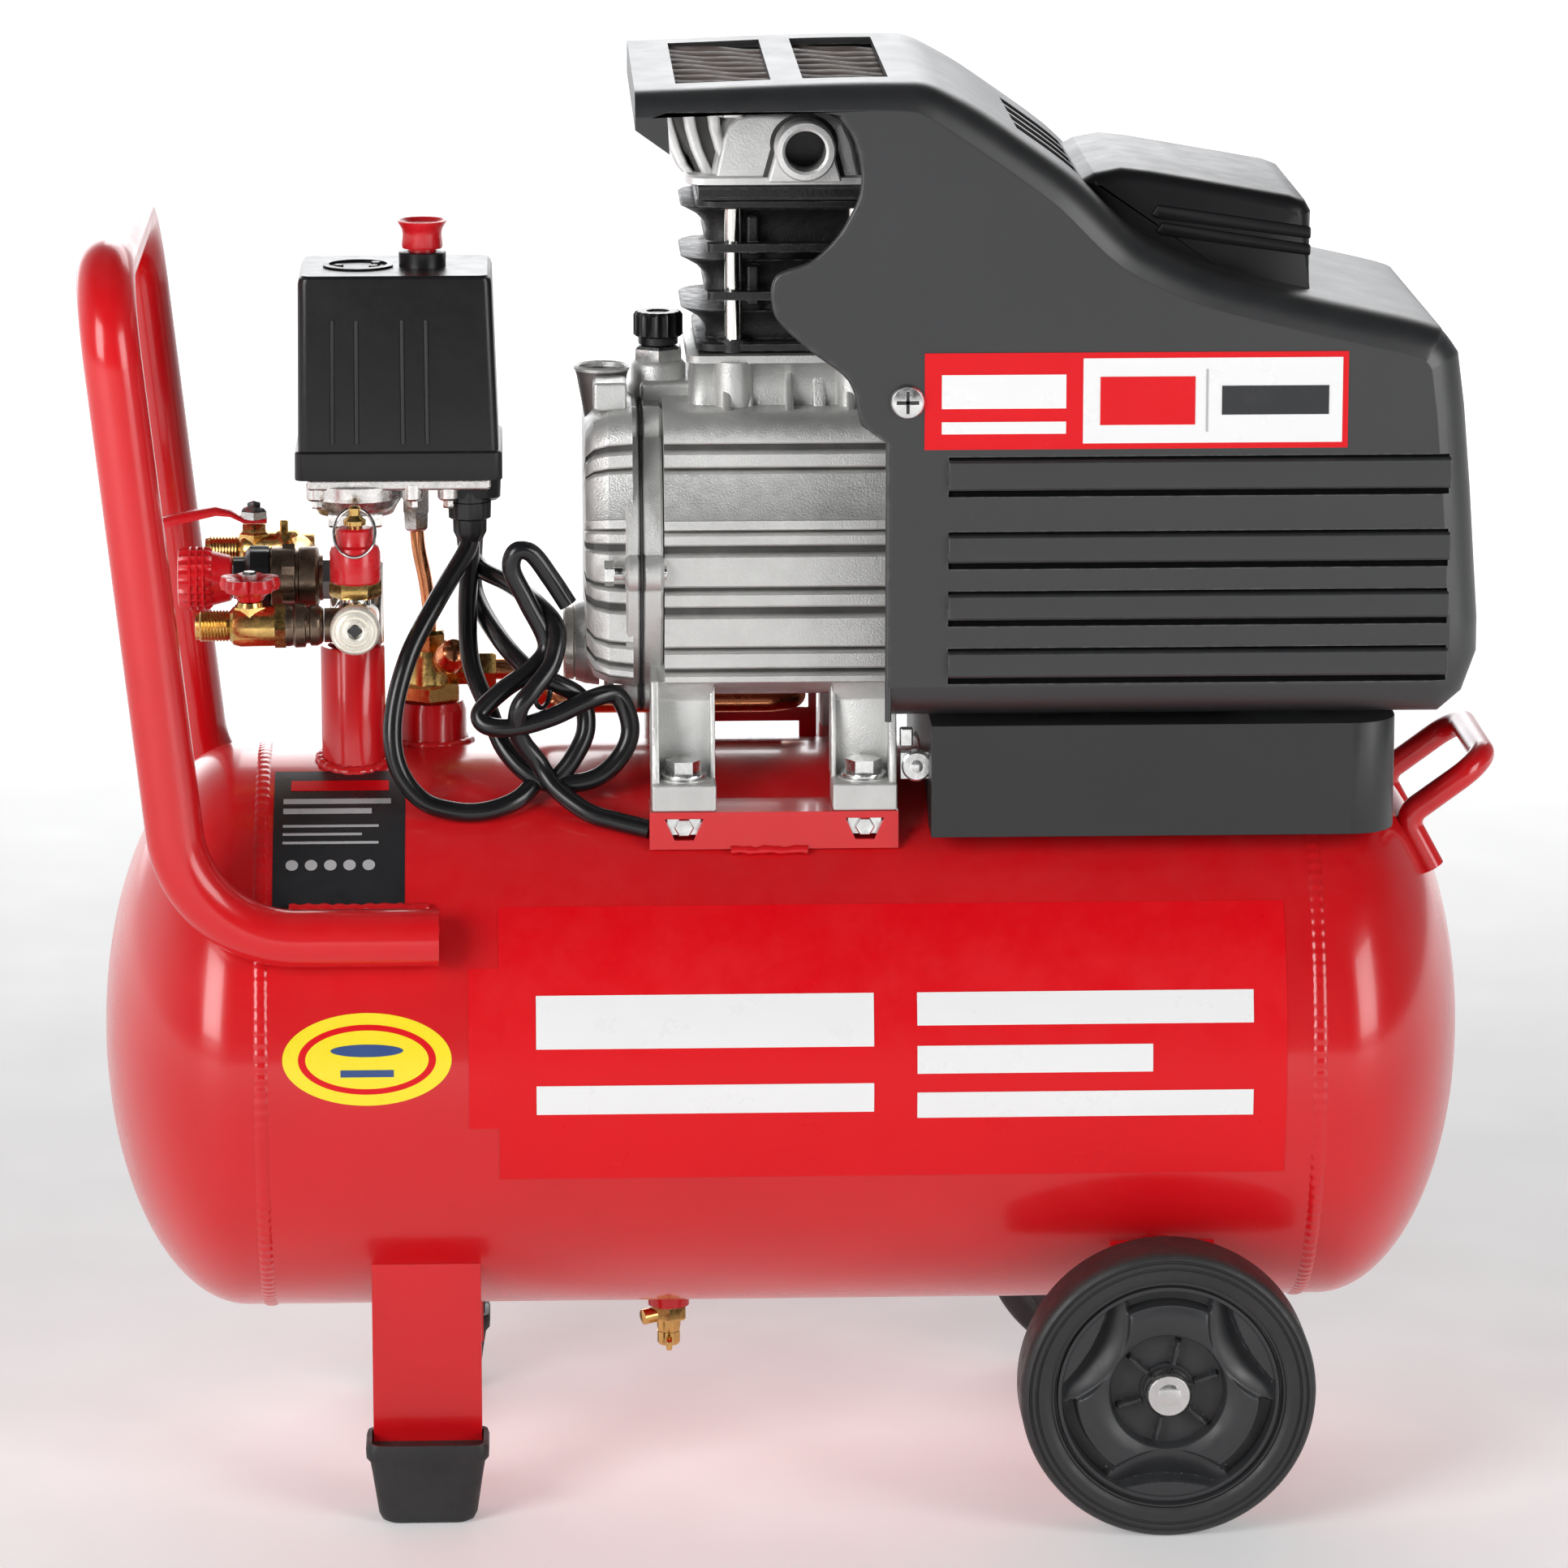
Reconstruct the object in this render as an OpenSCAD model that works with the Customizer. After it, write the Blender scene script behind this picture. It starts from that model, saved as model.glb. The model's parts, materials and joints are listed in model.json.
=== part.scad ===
// Portable single-cylinder air compressor on a horizontal wheeled tank.
// Origin on the floor under the middle of the whole length. +X runs along the tank towards the
// wheels, -Y is the front with the outlet cocks, +Z is up. Every length is in millimetres.

/* [Tank] */
// Outside radius of the air tank
tank_r = 121; // [119:0.5:122]
// Height of the tank axis above the floor
tank_z = 192; // [191:0.5:194]
// Distance from the middle of the tank to each weld seam
seam_x = 220; // [215:1:222]
// Depth of each dished head
head_depth = 70; // [66:1:72]
// Thickness of the tank plate
tank_wall = 2.5; // [2:0.5:4]

/* [Wheels and feet] */
// Outside radius of the tyre
wheel_r = 62; // [58:0.5:62]
// Width of the wheel
wheel_w = 32; // [30:1:34]
// Place of the wheels along the tank
wheel_x = 157; // [150:1:165]
// Place of the feet along the tank
foot_x = -153; // [-160:1:-150]
// Radius of the wheel bolt
axle_r = 6; // [5:0.5:6.5]

/* [Pump] */
// Height of the crankshaft above the floor
shaft_z = 400; // [400:0.5:402]
// Radius of the motor barrel
barrel_r = 60; // [59:0.5:60]
// Place of the cylinder along the crankshaft
cyl_x = 4; // [3:0.5:5]
// Radius of the cylinder bore
bore_r = 23.6; // [22:0.1:24]
// Throw of the crank, half of the piston stroke
crank_throw = 20; // [16:0.5:20]
// Length of the connecting rod between its two eyes
rod_length = 100; // [100:0.5:102]

/* [Covers] */
// Half of the width of the fan shroud
shroud_half_w = 100; // [98:1:102]
// Thickness of the plastic covers
skin = 3; // [2.5:0.5:3.5]

/* [Fits] */
// Radial clearance of every running fit
running = 0.05; // [0.02:0.01:0.08]
// Gap left between welded or clamped neighbours
snug = 0.05; // [0.02:0.01:0.1]

/* [Hidden] */
$fn = 48;

red = "firebrick";
brass = "goldenrod";
alloy = "silver";
plastic = "dimgray";
near_black = "black";
steel = "lightgray";

// Overall middle, measured from the middle of the tank
origin_x = 5.75;

// Tank
flange_len = 9.5;
weld_gap = 0.35;
dish = head_depth - flange_len;
tank_top = tank_z + tank_r;
tank_bottom = tank_z - tank_r;

// Pump heights
tdc_z = shaft_z + crank_throw + rod_length;
deck_z = 488;
gasket_t = 0.8;
cyl_base_z = deck_z + gasket_t;
cyl_top_z = 553;
plate_t = 4;
head_z = cyl_top_z + 2 * gasket_t + plate_t;
head_top_z = 592;
bearing_x = 28;
rear_bearing_x = 185;
barrel_end = 195;
cover_joint_x = -60;
bed_z = 301;

// Intake port in the cylinder head
intake_x = 7.8;
intake_y = -62;
intake_z = 575;
intake_r = 8.5;

// Head studs
stud_places = [cyl_x - 25.5, cyl_x + 25.5];
stud_y = 39;
stud_r = 4;

// Fittings
port_x = -180;
port_y = -18;
arm_y = -46;
arm_z = 375;
reg_z = 390;
valve_x = -150;
valve_y = 16;
knob_x = -151;

// Round bars along the three axes, from one coordinate to another
module rod_x(x0, x1, y, z, r) translate([x0, y, z]) rotate([0, 90, 0]) cylinder(r = r, h = x1 - x0);
module rod_y(y0, y1, x, z, r) translate([x, y0, z]) rotate([-90, 0, 0]) cylinder(r = r, h = y1 - y0);
module rod_z(z0, z1, x, y, r) translate([x, y, z0]) cylinder(r = r, h = z1 - z0);

// Six-sided bars
module hex_x(x0, x1, y, z, r) translate([x0, y, z]) rotate([0, 90, 0]) cylinder(r = r, h = x1 - x0, $fn = 6);
module hex_y(y0, y1, x, z, r) translate([x, y0, z]) rotate([-90, 0, 0]) cylinder(r = r, h = y1 - y0, $fn = 6);
module hex_z(z0, z1, x, y, r) translate([x, y, z0]) cylinder(r = r, h = z1 - z0, $fn = 6);

// Box between two opposite corners
module block(low, high) translate(low) cube(high - low);

// Brings the origin under the middle of the overall length. The modules measure X from the middle
// of the tank, which lies a little to one side of it because the two handles differ.
module placed() translate([-origin_x, 0, 0]) children();

// Shape and its mirror image on the other side of the tank
module both_sides() {
    children();
    mirror([0, 1, 0]) children();
}

// Flat outline drawn in X and Z, as thick as the span y0 to y1
module slab(outline, y0, y1) translate([0, y1, 0]) rotate([90, 0, 0]) linear_extrude(y1 - y0) polygon(outline);

// Profile of radius and length, turned about an X axis
module turned_x(profile, y, z) translate([0, y, z]) rotate([0, 90, 0]) rotate_extrude() polygon(profile);

// Bent round bar: straight stretches joined by arcs of the given bend radii.
// Each arc is a hair thicker than the bar, and the straight ends are let into it.
collar = 0.15;
lap = 0.8;
function unit(v) = v / norm(v);
function turn_angle(p, i) = acos(unit(p[i] - p[i - 1]) * unit(p[i + 1] - p[i]));
function setback(p, bends, i) = i == 0 || i == len(p) - 1 ? 0 : bends[i - 1] * tan(turn_angle(p, i) / 2);

module straight(a, b, r) {
    v = b - a;
    translate(a) rotate([0, acos(v.z / norm(v)), atan2(v.y, v.x)]) cylinder(r = r, h = norm(v));
}

module elbow(p, bends, i, r) {
    d = unit(p[i] - p[i - 1]);
    n = unit(cross(d, p[i + 1] - p[i]));
    m = cross(n, d);
    c = p[i] - d * setback(p, bends, i) + m * bends[i - 1];
    multmatrix([[-m.x, d.x, n.x, c.x], [-m.y, d.y, n.y, c.y], [-m.z, d.z, n.z, c.z]])
        rotate_extrude(angle = turn_angle(p, i)) translate([bends[i - 1], 0]) circle(r = r + collar);
}

module bent_bar(p, bends, r) {
    for (i = [0:len(p) - 2]) {
        d = unit(p[i + 1] - p[i]);
        lap_a = i == 0 ? 0 : lap;
        lap_b = i == len(p) - 2 ? 0 : lap;
        straight(p[i] + d * (setback(p, bends, i) - lap_a), p[i + 1] - d * (setback(p, bends, i + 1) - lap_b), r);
    }
    for (i = [1:len(p) - 2]) elbow(p, bends, i, r);
}

// Tank -----------------------------------------------------------------------------------------

function dish_arc(r, depth) = [for (t = [0:7.5:90]) [r * cos(t), flange_len + depth * sin(t)]];

module head_solid(grow) turned_x(concat([[0, 0], [tank_r + grow, 0]], dish_arc(tank_r + grow, dish + grow)), 0, tank_z);

// The whole outside of the tank, grown a little, for cutting what is welded to it
module tank_outside(grow) {
    rod_x(-seam_x, seam_x, 0, tank_z, tank_r + grow);
    translate([seam_x, 0, 0]) head_solid(grow);
}

module tank_shell() color(red) difference() {
    rod_x(-seam_x, seam_x, 0, tank_z, tank_r);
    rod_x(-seam_x - 1, seam_x + 1, 0, tank_z, tank_r - tank_wall);
    rod_z(tank_z, tank_top + 1, port_x, port_y, 6);
    rod_z(tank_z, tank_top + 1, valve_x, valve_y, 6);
    rod_z(tank_bottom - 1, tank_z, -49, 0, 4);
}

module tank_head() {
    inside = dish_arc(tank_r - tank_wall, dish - tank_wall);
    profile = concat(
        [[tank_r, 0]], dish_arc(tank_r, dish),
        [for (i = [len(inside) - 1:-1:0]) inside[i]], [[tank_r - tank_wall, 0]]);
    color(red) translate([seam_x + snug, 0, 0]) turned_x(profile, 0, tank_z);
}

module tank_head_left() mirror([1, 0, 0]) tank_head();
module tank_head_right() tank_head();

// Riser pipe, check valve boss and drain boss, each bored through to the tank
module tank_port(z0, z1, x, y, r, hole) difference() {
    rod_z(z0, z1, x, y, r);
    tank_outside(snug);
    rod_z(z0 - 1, z1 + 1, x, y, hole);
}

module tank_ports() color(red) {
    tank_port(tank_z, 361, port_x, port_y, 13.5, 10);
    tank_port(tank_z, 330, valve_x, valve_y, 15.5, 6);
    tank_port(64, tank_z, -49, 0, 9, 4);
}

module carry_handle() color(red) {
    y = 113;
    low_z = tank_z + 64.5;
    corner = [-249, low_z];
    top = [-279, 531];
    difference() {
        bent_bar([
            [-145.7, -y, low_z], [corner.x, -y, corner.y], [top.x, -y, top.y],
            [top.x, y, top.y], [corner.x, y, corner.y], [-145.7, y, low_z]], [50, 36, 36, 50], 12);
        rod_x(-seam_x - flange_len, seam_x, 0, tank_z, tank_r + weld_gap);
    }
}

module tow_handle() color(red) {
    y = 42;
    difference() {
        bent_bar([
            [275, -y, 266], [263, -y, 288], [297, -y, 313],
            [297, y, 313], [263, y, 288], [275, y, 266]], [8, 14, 14, 8], 5.5);
        tank_outside(snug);
    }
}

// Undercarriage --------------------------------------------------------------------------------

wheel_in = 105;
wheel_out = wheel_in + wheel_w;
well_y = wheel_out - 8;

// Folded sheet leg with two edge returns and a foot flange
module leg_bracket() difference() {
    union() {
        block([foot_x - 23, -88, 24], [foot_x + 23, -84, 125]);
        block([foot_x - 23, -88, 24], [foot_x - 20, -76, 125]);
        block([foot_x + 20, -88, 24], [foot_x + 23, -76, 125]);
        block([foot_x - 23, -104, 24], [foot_x + 23, -84, 27]);
    }
    tank_outside(snug);
}

// Plate that carries a wheel bolt
module wheel_bracket() difference() {
    union() {
        rod_y(-96, -92, wheel_x, wheel_r, 22);
        block([wheel_x - 22, -96, wheel_r], [wheel_x + 22, -92, 130]);
    }
    tank_outside(snug);
    rod_y(-97, -91, wheel_x, wheel_r, axle_r);
}

module support_brackets() color(red) both_sides() {
    leg_bracket();
    wheel_bracket();
}

module rubber_feet() color(near_black) both_sides() difference() {
    slab([[foot_x - 26, 35], [foot_x + 26, 35], [foot_x + 21, 0], [foot_x - 21, 0]], -108, -80);
    block([foot_x - 23 - snug, -104 - snug, 24 - snug], [foot_x + 23 + snug, -75, 36]);
}

module axle_hardware() color(steel) both_sides() {
    difference() {
        union() {
            rod_y(-well_y, -86, wheel_x, wheel_r, axle_r);
            hex_y(-92, -86, wheel_x, wheel_r, 10.5);
        }
        rod_y(-97, -92, wheel_x, wheel_r, axle_r + 5);
    }
    rod_y(-97, -92, wheel_x, wheel_r, axle_r);
    difference() {
        rod_y(-wheel_in + snug, -96, wheel_x, wheel_r, 10);
        rod_y(-wheel_in, -95, wheel_x, wheel_r, axle_r);
    }
    translate([wheel_x, -well_y, wheel_r]) intersection() {
        sphere(r = 11);
        rod_y(-7, -snug, 0, 0, 10);
    }
}

// Wheel centre with a deep well, six thin ribs and a bored boss
module wheel_hub() color(near_black) difference() {
    rod_y(-wheel_out + 2, -wheel_in - 2, wheel_x, wheel_r, 49);
    difference() {
        rod_y(-wheel_out - 1, -well_y + 1, wheel_x, wheel_r, 23);
        for (k = [0:5]) translate([wheel_x, 0, wheel_r]) rotate([0, 60 * k + 30, 0])
            block([11, -wheel_out + 4, -0.8], [24, -well_y + 2, 0.8]);
        rod_y(-well_y, -wheel_in, wheel_x, wheel_r, 12);
    }
    difference() {
        rod_y(-wheel_in - 15, -wheel_in + 1, wheel_x, wheel_r, 44);
        rod_y(-wheel_in - 16, -wheel_in + 2, wheel_x, wheel_r, 12);
    }
    for (k = [0:2]) translate([wheel_x, 0, wheel_r]) rotate([0, 120 * k + 90, 0])
        rod_y(-wheel_out - 1, -wheel_out + 7, 40, 0, 15);
    rod_y(-wheel_out - 1, -wheel_in + 3, wheel_x, wheel_r, axle_r + running);
}

// Solid tyre with broken edges
module tyre() color("#1a1a1a") {
    hw = wheel_w / 2;
    profile = [[49, -hw + 2], [54, -hw], [59, -hw], [wheel_r, -hw + 4], [wheel_r, hw - 4], [59, hw], [54, hw], [49, hw - 2]];
    translate([wheel_x, -wheel_in - hw, wheel_r]) rotate([90, 0, 0]) rotate_extrude() polygon(profile);
}

module wheel_hub_front() wheel_hub();
module tyre_front() tyre();
module wheel_hub_rear() mirror([0, 1, 0]) wheel_hub();
module tyre_rear() mirror([0, 1, 0]) tyre();

// Pump bed -------------------------------------------------------------------------------------

foot_places = [-43.5, 32];
bolt_y = 66;

module pump_bracket() color(red) both_sides() difference() {
    union() {
        block([-58, -80, bed_z - 3], [46, -40, bed_z]);
        block([-58, -80, bed_z - 16], [46, -77, bed_z]);
    }
    tank_outside(snug);
    for (x = foot_places) {
        rod_z(bed_z - 4, bed_z + 1, x, -bolt_y, 4);
        slab([[x - 8, bed_z - 3], [x + 8, bed_z - 3], [x + 4, bed_z - 12], [x - 4, bed_z - 12]], -81, -76);
    }
}

// Bolt and washer at each of the four motor feet, screwed into the bracket
module mount_bolts() color(steel) both_sides() for (x = foot_places) {
    union() {
        rod_z(bed_z - 3, bed_z + 14, x, -bolt_y, 4);
        hex_z(bed_z + 14, bed_z + 19.5, x, -bolt_y, 7.5);
    }
    difference() {
        rod_z(bed_z + 12 + snug, bed_z + 14 - snug, x, -bolt_y, 9.5);
        rod_z(bed_z + 11, bed_z + 15, x, -bolt_y, 4);
    }
}

// Pump and motor -------------------------------------------------------------------------------

flange_r = 66;
cover_bolts = [for (k = [0:5]) 60 * k];
throat_r = 28;
post_x = 48;
post_z = 477;

// Round flange with six screw lugs, from x0 to x1
module lug_flange(x0, x1) {
    rod_x(x0, x1, 0, shaft_z, flange_r);
    for (a = cover_bolts) rod_x(x0, x1, flange_r * cos(a), shaft_z + flange_r * sin(a), 8);
}

module lug_holes(x0, x1) for (a = cover_bolts)
    rod_x(x0, x1, flange_r * cos(a), shaft_z + flange_r * sin(a), 3);

// Channel-shaped leg on a pad, open towards the side
module motor_foot(x) {
    block([x - 13.5, -80, bed_z], [x + 13.5, -54, bed_z + 12]);
    block([x - 13.5, -56, bed_z + 10], [x + 13.5, -42, shaft_z - 35]);
    block([x - 13.5, -74, bed_z + 10], [x - 10, -50, shaft_z - 40]);
    block([x + 10, -74, bed_z + 10], [x + 13.5, -50, shaft_z - 40]);
}

module motor_housing() color(alloy) difference() {
    union() {
        rod_x(cover_joint_x, barrel_end, 0, shaft_z, barrel_r);
        lug_flange(cover_joint_x, -46);
        for (k = [0:9]) block([-46, -66, shaft_z - 48 + 12 * k - 1.5], [barrel_end, 66, shaft_z - 48 + 12 * k + 1.5]);
        block([-42, -44, 440], [50, 44, deck_z]);
        both_sides() for (x = foot_places) motor_foot(x);
        both_sides() rod_y(-shroud_half_w + skin, -40, post_x, post_z, 6);
        difference() {
            rod_z(shaft_z + 50, 486, -52, 0, 10);
            block([-70, -20, shaft_z], [cover_joint_x + 0.1, 20, 490]);
        }
    }
    rod_x(cover_joint_x - 1, 26, 0, shaft_z, 54);
    rod_x(25, 43 + snug, 0, shaft_z, 26);
    rod_x(25, 53, 0, shaft_z, 17);
    rod_x(52, barrel_end + 1, 0, shaft_z, 56.5);
    rod_z(shaft_z, deck_z + 1, cyl_x, 0, throat_r);
    rod_z(shaft_z + 40, 487, -52, 0, 7 + running);
    lug_holes(cover_joint_x - 1, -45);
    both_sides() for (x = foot_places) rod_z(bed_z - 1, bed_z + 13, x, -bolt_y, 4);
    both_sides() rod_y(-shroud_half_w, -80, post_x, post_z, 2.5);
    both_sides() for (x = stud_places) rod_z(470, deck_z + 1, x, -stud_y, stud_r);
}

// Crankcase end cover with its filler spout
module crankcase_cover() color(alloy) difference() {
    union() {
        lug_flange(-72, cover_joint_x - gasket_t);
        turned_x([[0, -84], [46, -84], [54, -76], [54, -71], [0, -71]], 0, shaft_z);
        translate([-75, -12, shaft_z + 36]) cylinder(r1 = 5, r2 = 10, h = 42);
        rod_x(-88, -80, -20, 362, 17);
    }
    turned_x([[0, -80], [44, -80], [50, -75], [50, -60], [0, -60]], 0, shaft_z);
    rod_x(-89, -79, -20, 362, 11);
    translate([-75, -12, shaft_z + 64]) cylinder(r = 7, h = 20);
    lug_holes(-73, cover_joint_x);
}

// Cover gasket, cylinder base gasket and the two head gaskets
module deck_gasket(z, hole) difference() {
    block([cyl_x - 40, -46, z], [cyl_x + 40, 46, z + gasket_t]);
    rod_z(z - 1, z + 2, cyl_x, 0, hole);
    both_sides() for (x = stud_places) rod_z(z - 1, z + 2, x, -stud_y, stud_r);
}

module gaskets() color(near_black) {
    difference() {
        lug_flange(cover_joint_x - gasket_t, cover_joint_x);
        rod_x(cover_joint_x - 2, cover_joint_x + 1, 0, shaft_z, 53);
        lug_holes(cover_joint_x - 2, cover_joint_x + 1);
    }
    deck_gasket(deck_z, throat_r);
    deck_gasket(cyl_top_z, 26);
    deck_gasket(cyl_top_z + gasket_t + plate_t, 30);
}

// Six cover screws and the two shroud screws
module cover_screws() color(steel) {
    for (a = cover_bolts) union() {
        rod_x(-72, -50, flange_r * cos(a), shaft_z + flange_r * sin(a), 3);
        hex_x(-76, -72, flange_r * cos(a), shaft_z + flange_r * sin(a), 5.5);
    }
    both_sides() union() {
        rod_y(-shroud_half_w, -84, post_x, post_z, 2.5);
        rod_y(-shroud_half_w - 2.5, -shroud_half_w, post_x, post_z, 6.5);
    }
}

module sight_glass() color("gold") {
    difference() {
        union() {
            rod_x(-88, -81, -20, 362, 11 - snug);
            rod_x(-93, -88, -20, 362, 16);
        }
        rod_x(-94, -85, -20, 362, 9);
    }
    rod_x(-88, -85, -20, 362, 9 - snug);
}

module oil_cap() color(near_black) {
    rod_z(472, 486, -52, 0, 7);
    rod_z(486, 491, -52, 0, 8);
    difference() {
        rod_z(491, 500, -52, 0, 10.5);
        for (k = [0:15]) rotate_about(-52, 0, 22.5 * k) rod_z(490, 501, -52 + 11, 0, 1);
    }
}

module rotate_about(x, y, a) translate([x, y, 0]) rotate([0, 0, a]) translate([-x, -y, 0]) children();

// Finned cast-iron cylinder
module cylinder_barrel() color(near_black) difference() {
    union() {
        rod_z(cyl_base_z, cyl_top_z, cyl_x, 0, 31);
        for (z = [501, 523, 544]) block([cyl_x - 44, -34, z], [cyl_x + 44, 34, z + 4]);
        block([cyl_x - 40, -46, cyl_base_z], [cyl_x + 40, 46, cyl_base_z + 6]);
        block([cyl_x - 40, -46, cyl_top_z - 5], [cyl_x + 40, 46, cyl_top_z]);
    }
    rod_z(cyl_base_z - 1, cyl_top_z + 1, cyl_x, 0, bore_r);
    both_sides() for (x = stud_places) rod_z(cyl_base_z - 1, cyl_top_z + 1, x, -stud_y, stud_r + 0.2);
}

module piston() color(alloy) difference() {
    rod_z(tdc_z - 15, tdc_z + 30, cyl_x, 0, bore_r - running);
    difference() {
        rod_z(tdc_z - 16, tdc_z + 22, cyl_x, 0, bore_r - 3.5);
        block([cyl_x - 30, -9, tdc_z - 10], [cyl_x - 8, 9, tdc_z + 23]);
        block([cyl_x + 8, -9, tdc_z - 10], [cyl_x + 30, 9, tdc_z + 23]);
    }
    for (z = [tdc_z + 18, tdc_z + 24]) difference() {
        rod_z(z, z + 2, cyl_x, 0, bore_r + 1);
        rod_z(z - 1, z + 3, cyl_x, 0, bore_r - 2.5);
    }
    rod_x(cyl_x - 30, cyl_x + 30, 0, tdc_z, 6);
}

module piston_rings() color(steel) for (z = [tdc_z + 18, tdc_z + 24]) difference() {
    rod_z(z + 0.1, z + 1.9, cyl_x, 0, bore_r - 0.02);
    rod_z(z - 1, z + 3, cyl_x, 0, bore_r - 2.2);
}

module wrist_pin() color(steel) rod_x(cyl_x - 19, cyl_x + 19, 0, tdc_z, 6);

rod_half_w = 7;

module connecting_rod() color(alloy) difference() {
    union() {
        rod_x(cyl_x - rod_half_w, cyl_x + rod_half_w, 0, tdc_z, 11);
        rod_x(cyl_x - rod_half_w, cyl_x + rod_half_w, 0, tdc_z - rod_length, 15);
        block([cyl_x - 4, -7, tdc_z - rod_length], [cyl_x + 4, 7, tdc_z]);
    }
    rod_x(cyl_x - 10, cyl_x + 10, 0, tdc_z, 6 + running);
    rod_x(cyl_x - 10, cyl_x + 10, 0, tdc_z - rod_length, 9);
}

// Overhung crank: web, counterweight and pin on the motor shaft
web_x = cyl_x + rod_half_w + 3;

module crankshaft() color(steel) {
    rod_x(web_x, 180, 0, shaft_z, 12.5);
    rod_x(180, 238, 0, shaft_z, 8.5);
    intersection() {
        rod_x(web_x, web_x + 10, 0, shaft_z, 40);
        block([web_x - 1, -26, shaft_z - 41], [web_x + 11, 26, shaft_z + 20]);
    }
    rod_x(web_x, web_x + 10, 0, shaft_z + crank_throw, 14);
    rod_x(web_x - 2.5, web_x, 0, shaft_z + crank_throw, 8.5);
}

// Two deep-groove ball bearings and the shaft seal
module ball_bearing(x, width, inner, outer) {
    mid = (inner + outer) / 2;
    ball = (outer - inner) * 0.28;
    rail = (outer - inner) * 0.25;
    difference() {
        rod_x(x, x + width, 0, shaft_z, outer - snug);
        rod_x(x - 1, x + width + 1, 0, shaft_z, outer - rail);
        translate([x + width / 2, 0, shaft_z]) rotate([0, 90, 0]) rotate_extrude() translate([mid, 0]) circle(r = ball);
    }
    difference() {
        rod_x(x, x + width, 0, shaft_z, inner + rail);
        rod_x(x - 1, x + width + 1, 0, shaft_z, inner + running);
        translate([x + width / 2, 0, shaft_z]) rotate([0, 90, 0]) rotate_extrude() translate([mid, 0]) circle(r = ball);
    }
    for (k = [0:7]) translate([x + width / 2, mid * cos(45 * k), shaft_z + mid * sin(45 * k)]) sphere(r = ball - snug);
}

module bearings() color(steel) {
    ball_bearing(bearing_x, 15, 12.5, 26);
    ball_bearing(rear_bearing_x, 12, 8.5, 20);
    difference() {
        rod_x(45, 52, 0, shaft_z, 17 - snug);
        rod_x(44, 53, 0, shaft_z, 12.5 + running);
    }
}

motor_x0 = 75;
motor_x1 = 155;

module rotor_core() color(steel) difference() {
    rod_x(motor_x0, motor_x1, 0, shaft_z, 32);
    rod_x(motor_x0 - 1, motor_x1 + 1, 0, shaft_z, 12.5);
}

module stator_core() color("slategray") difference() {
    rod_x(motor_x0, motor_x1, 0, shaft_z, 56.5 - snug);
    rod_x(motor_x0 - 1, motor_x1 + 1, 0, shaft_z, 32.5);
    for (k = [0:11]) translate([0, 0, shaft_z]) rotate([30 * k, 0, 0])
        block([motor_x0 - 1, -3, 37], [motor_x1 + 1, 3, 49]);
}

module stator_windings() color("chocolate") {
    for (x = [motor_x0 - 15, motor_x1 + snug]) turned_x(
        [[36, x], [50, x], [53, x + 3], [53, x + 15 - snug], [36, x + 15 - snug]], 0, shaft_z);
    for (k = [0:11]) translate([0, 0, shaft_z]) rotate([30 * k, 0, 0])
        block([motor_x0 + snug, -2.8, 37.2], [motor_x1 - snug, 2.8, 48.8]);
}

module end_shield() color(alloy) difference() {
    union() {
        rod_x(barrel_end, 202, 0, shaft_z, barrel_r);
        rod_x(184, barrel_end + 1, 0, shaft_z, 25);
    }
    rod_x(183, rear_bearing_x + 12 + snug, 0, shaft_z, 20);
    rod_x(183, 203, 0, shaft_z, 10);
    for (k = [0:5]) rod_x(194, 203, 42 * cos(60 * k), shaft_z + 42 * sin(60 * k), 9);
}

module cooling_fan() color(near_black) difference() {
    union() {
        rod_x(206, 208, 0, shaft_z, 54);
        rod_x(206, 230, 0, shaft_z, 15);
        for (k = [0:8]) translate([0, 0, shaft_z]) rotate([40 * k, 0, 0])
            block([207, -1, 12], [228, 1, 53]);
    }
    rod_x(205, 231, 0, shaft_z, 8.5);
}

// Valve plate with its two ports, and a spring steel reed over each
module valve_plate() color(steel) {
    z0 = cyl_top_z + gasket_t;
    difference() {
        block([cyl_x - 40, -46, z0], [cyl_x + 40, 46, z0 + plate_t]);
        both_sides() rod_z(cyl_top_z, head_z, cyl_x, -11, 4.5);
        both_sides() for (x = stud_places) rod_z(cyl_top_z, head_z, x, -stud_y, stud_r);
    }
    block([cyl_x - 7, -17, z0 - 0.5], [cyl_x + 7, -5, z0 - snug]);
    block([cyl_x - 7, 5, z0 + plate_t + snug], [cyl_x + 7, 17, z0 + plate_t + 0.5]);
}

module cylinder_head() color(alloy) difference() {
    union() {
        block([cyl_x - 46, -46, head_z], [cyl_x + 46, 46, head_z + 5]);
        block([cyl_x - 40, -45, head_z + 4], [cyl_x + 40, 45, head_top_z - 3]);
        for (x = [cyl_x - 52, cyl_x - 38, cyl_x + 36, cyl_x + 48]) block([x, -40, head_z + 4], [x + 4, 40, head_top_z]);
        rod_y(intake_y, -40, intake_x, intake_z, 13);
        rod_y(40, 62, intake_x, intake_z, 10);
        block([cyl_x - 52, -4, head_z + 4], [cyl_x + 52, 4, head_z + 22]);
    }
    block([cyl_x - 34, -36, head_z - 1], [cyl_x + 34, -2, head_top_z - 8]);
    block([cyl_x - 34, 2, head_z - 1], [cyl_x + 34, 36, head_top_z - 8]);
    rod_y(intake_y - 1, -30, intake_x, intake_z, intake_r);
    rod_y(30, 63, intake_x, intake_z, 4.5 + snug);
    both_sides() for (x = stud_places) rod_z(head_z - 1, head_top_z + 1, x, -stud_y, stud_r);
}

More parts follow.
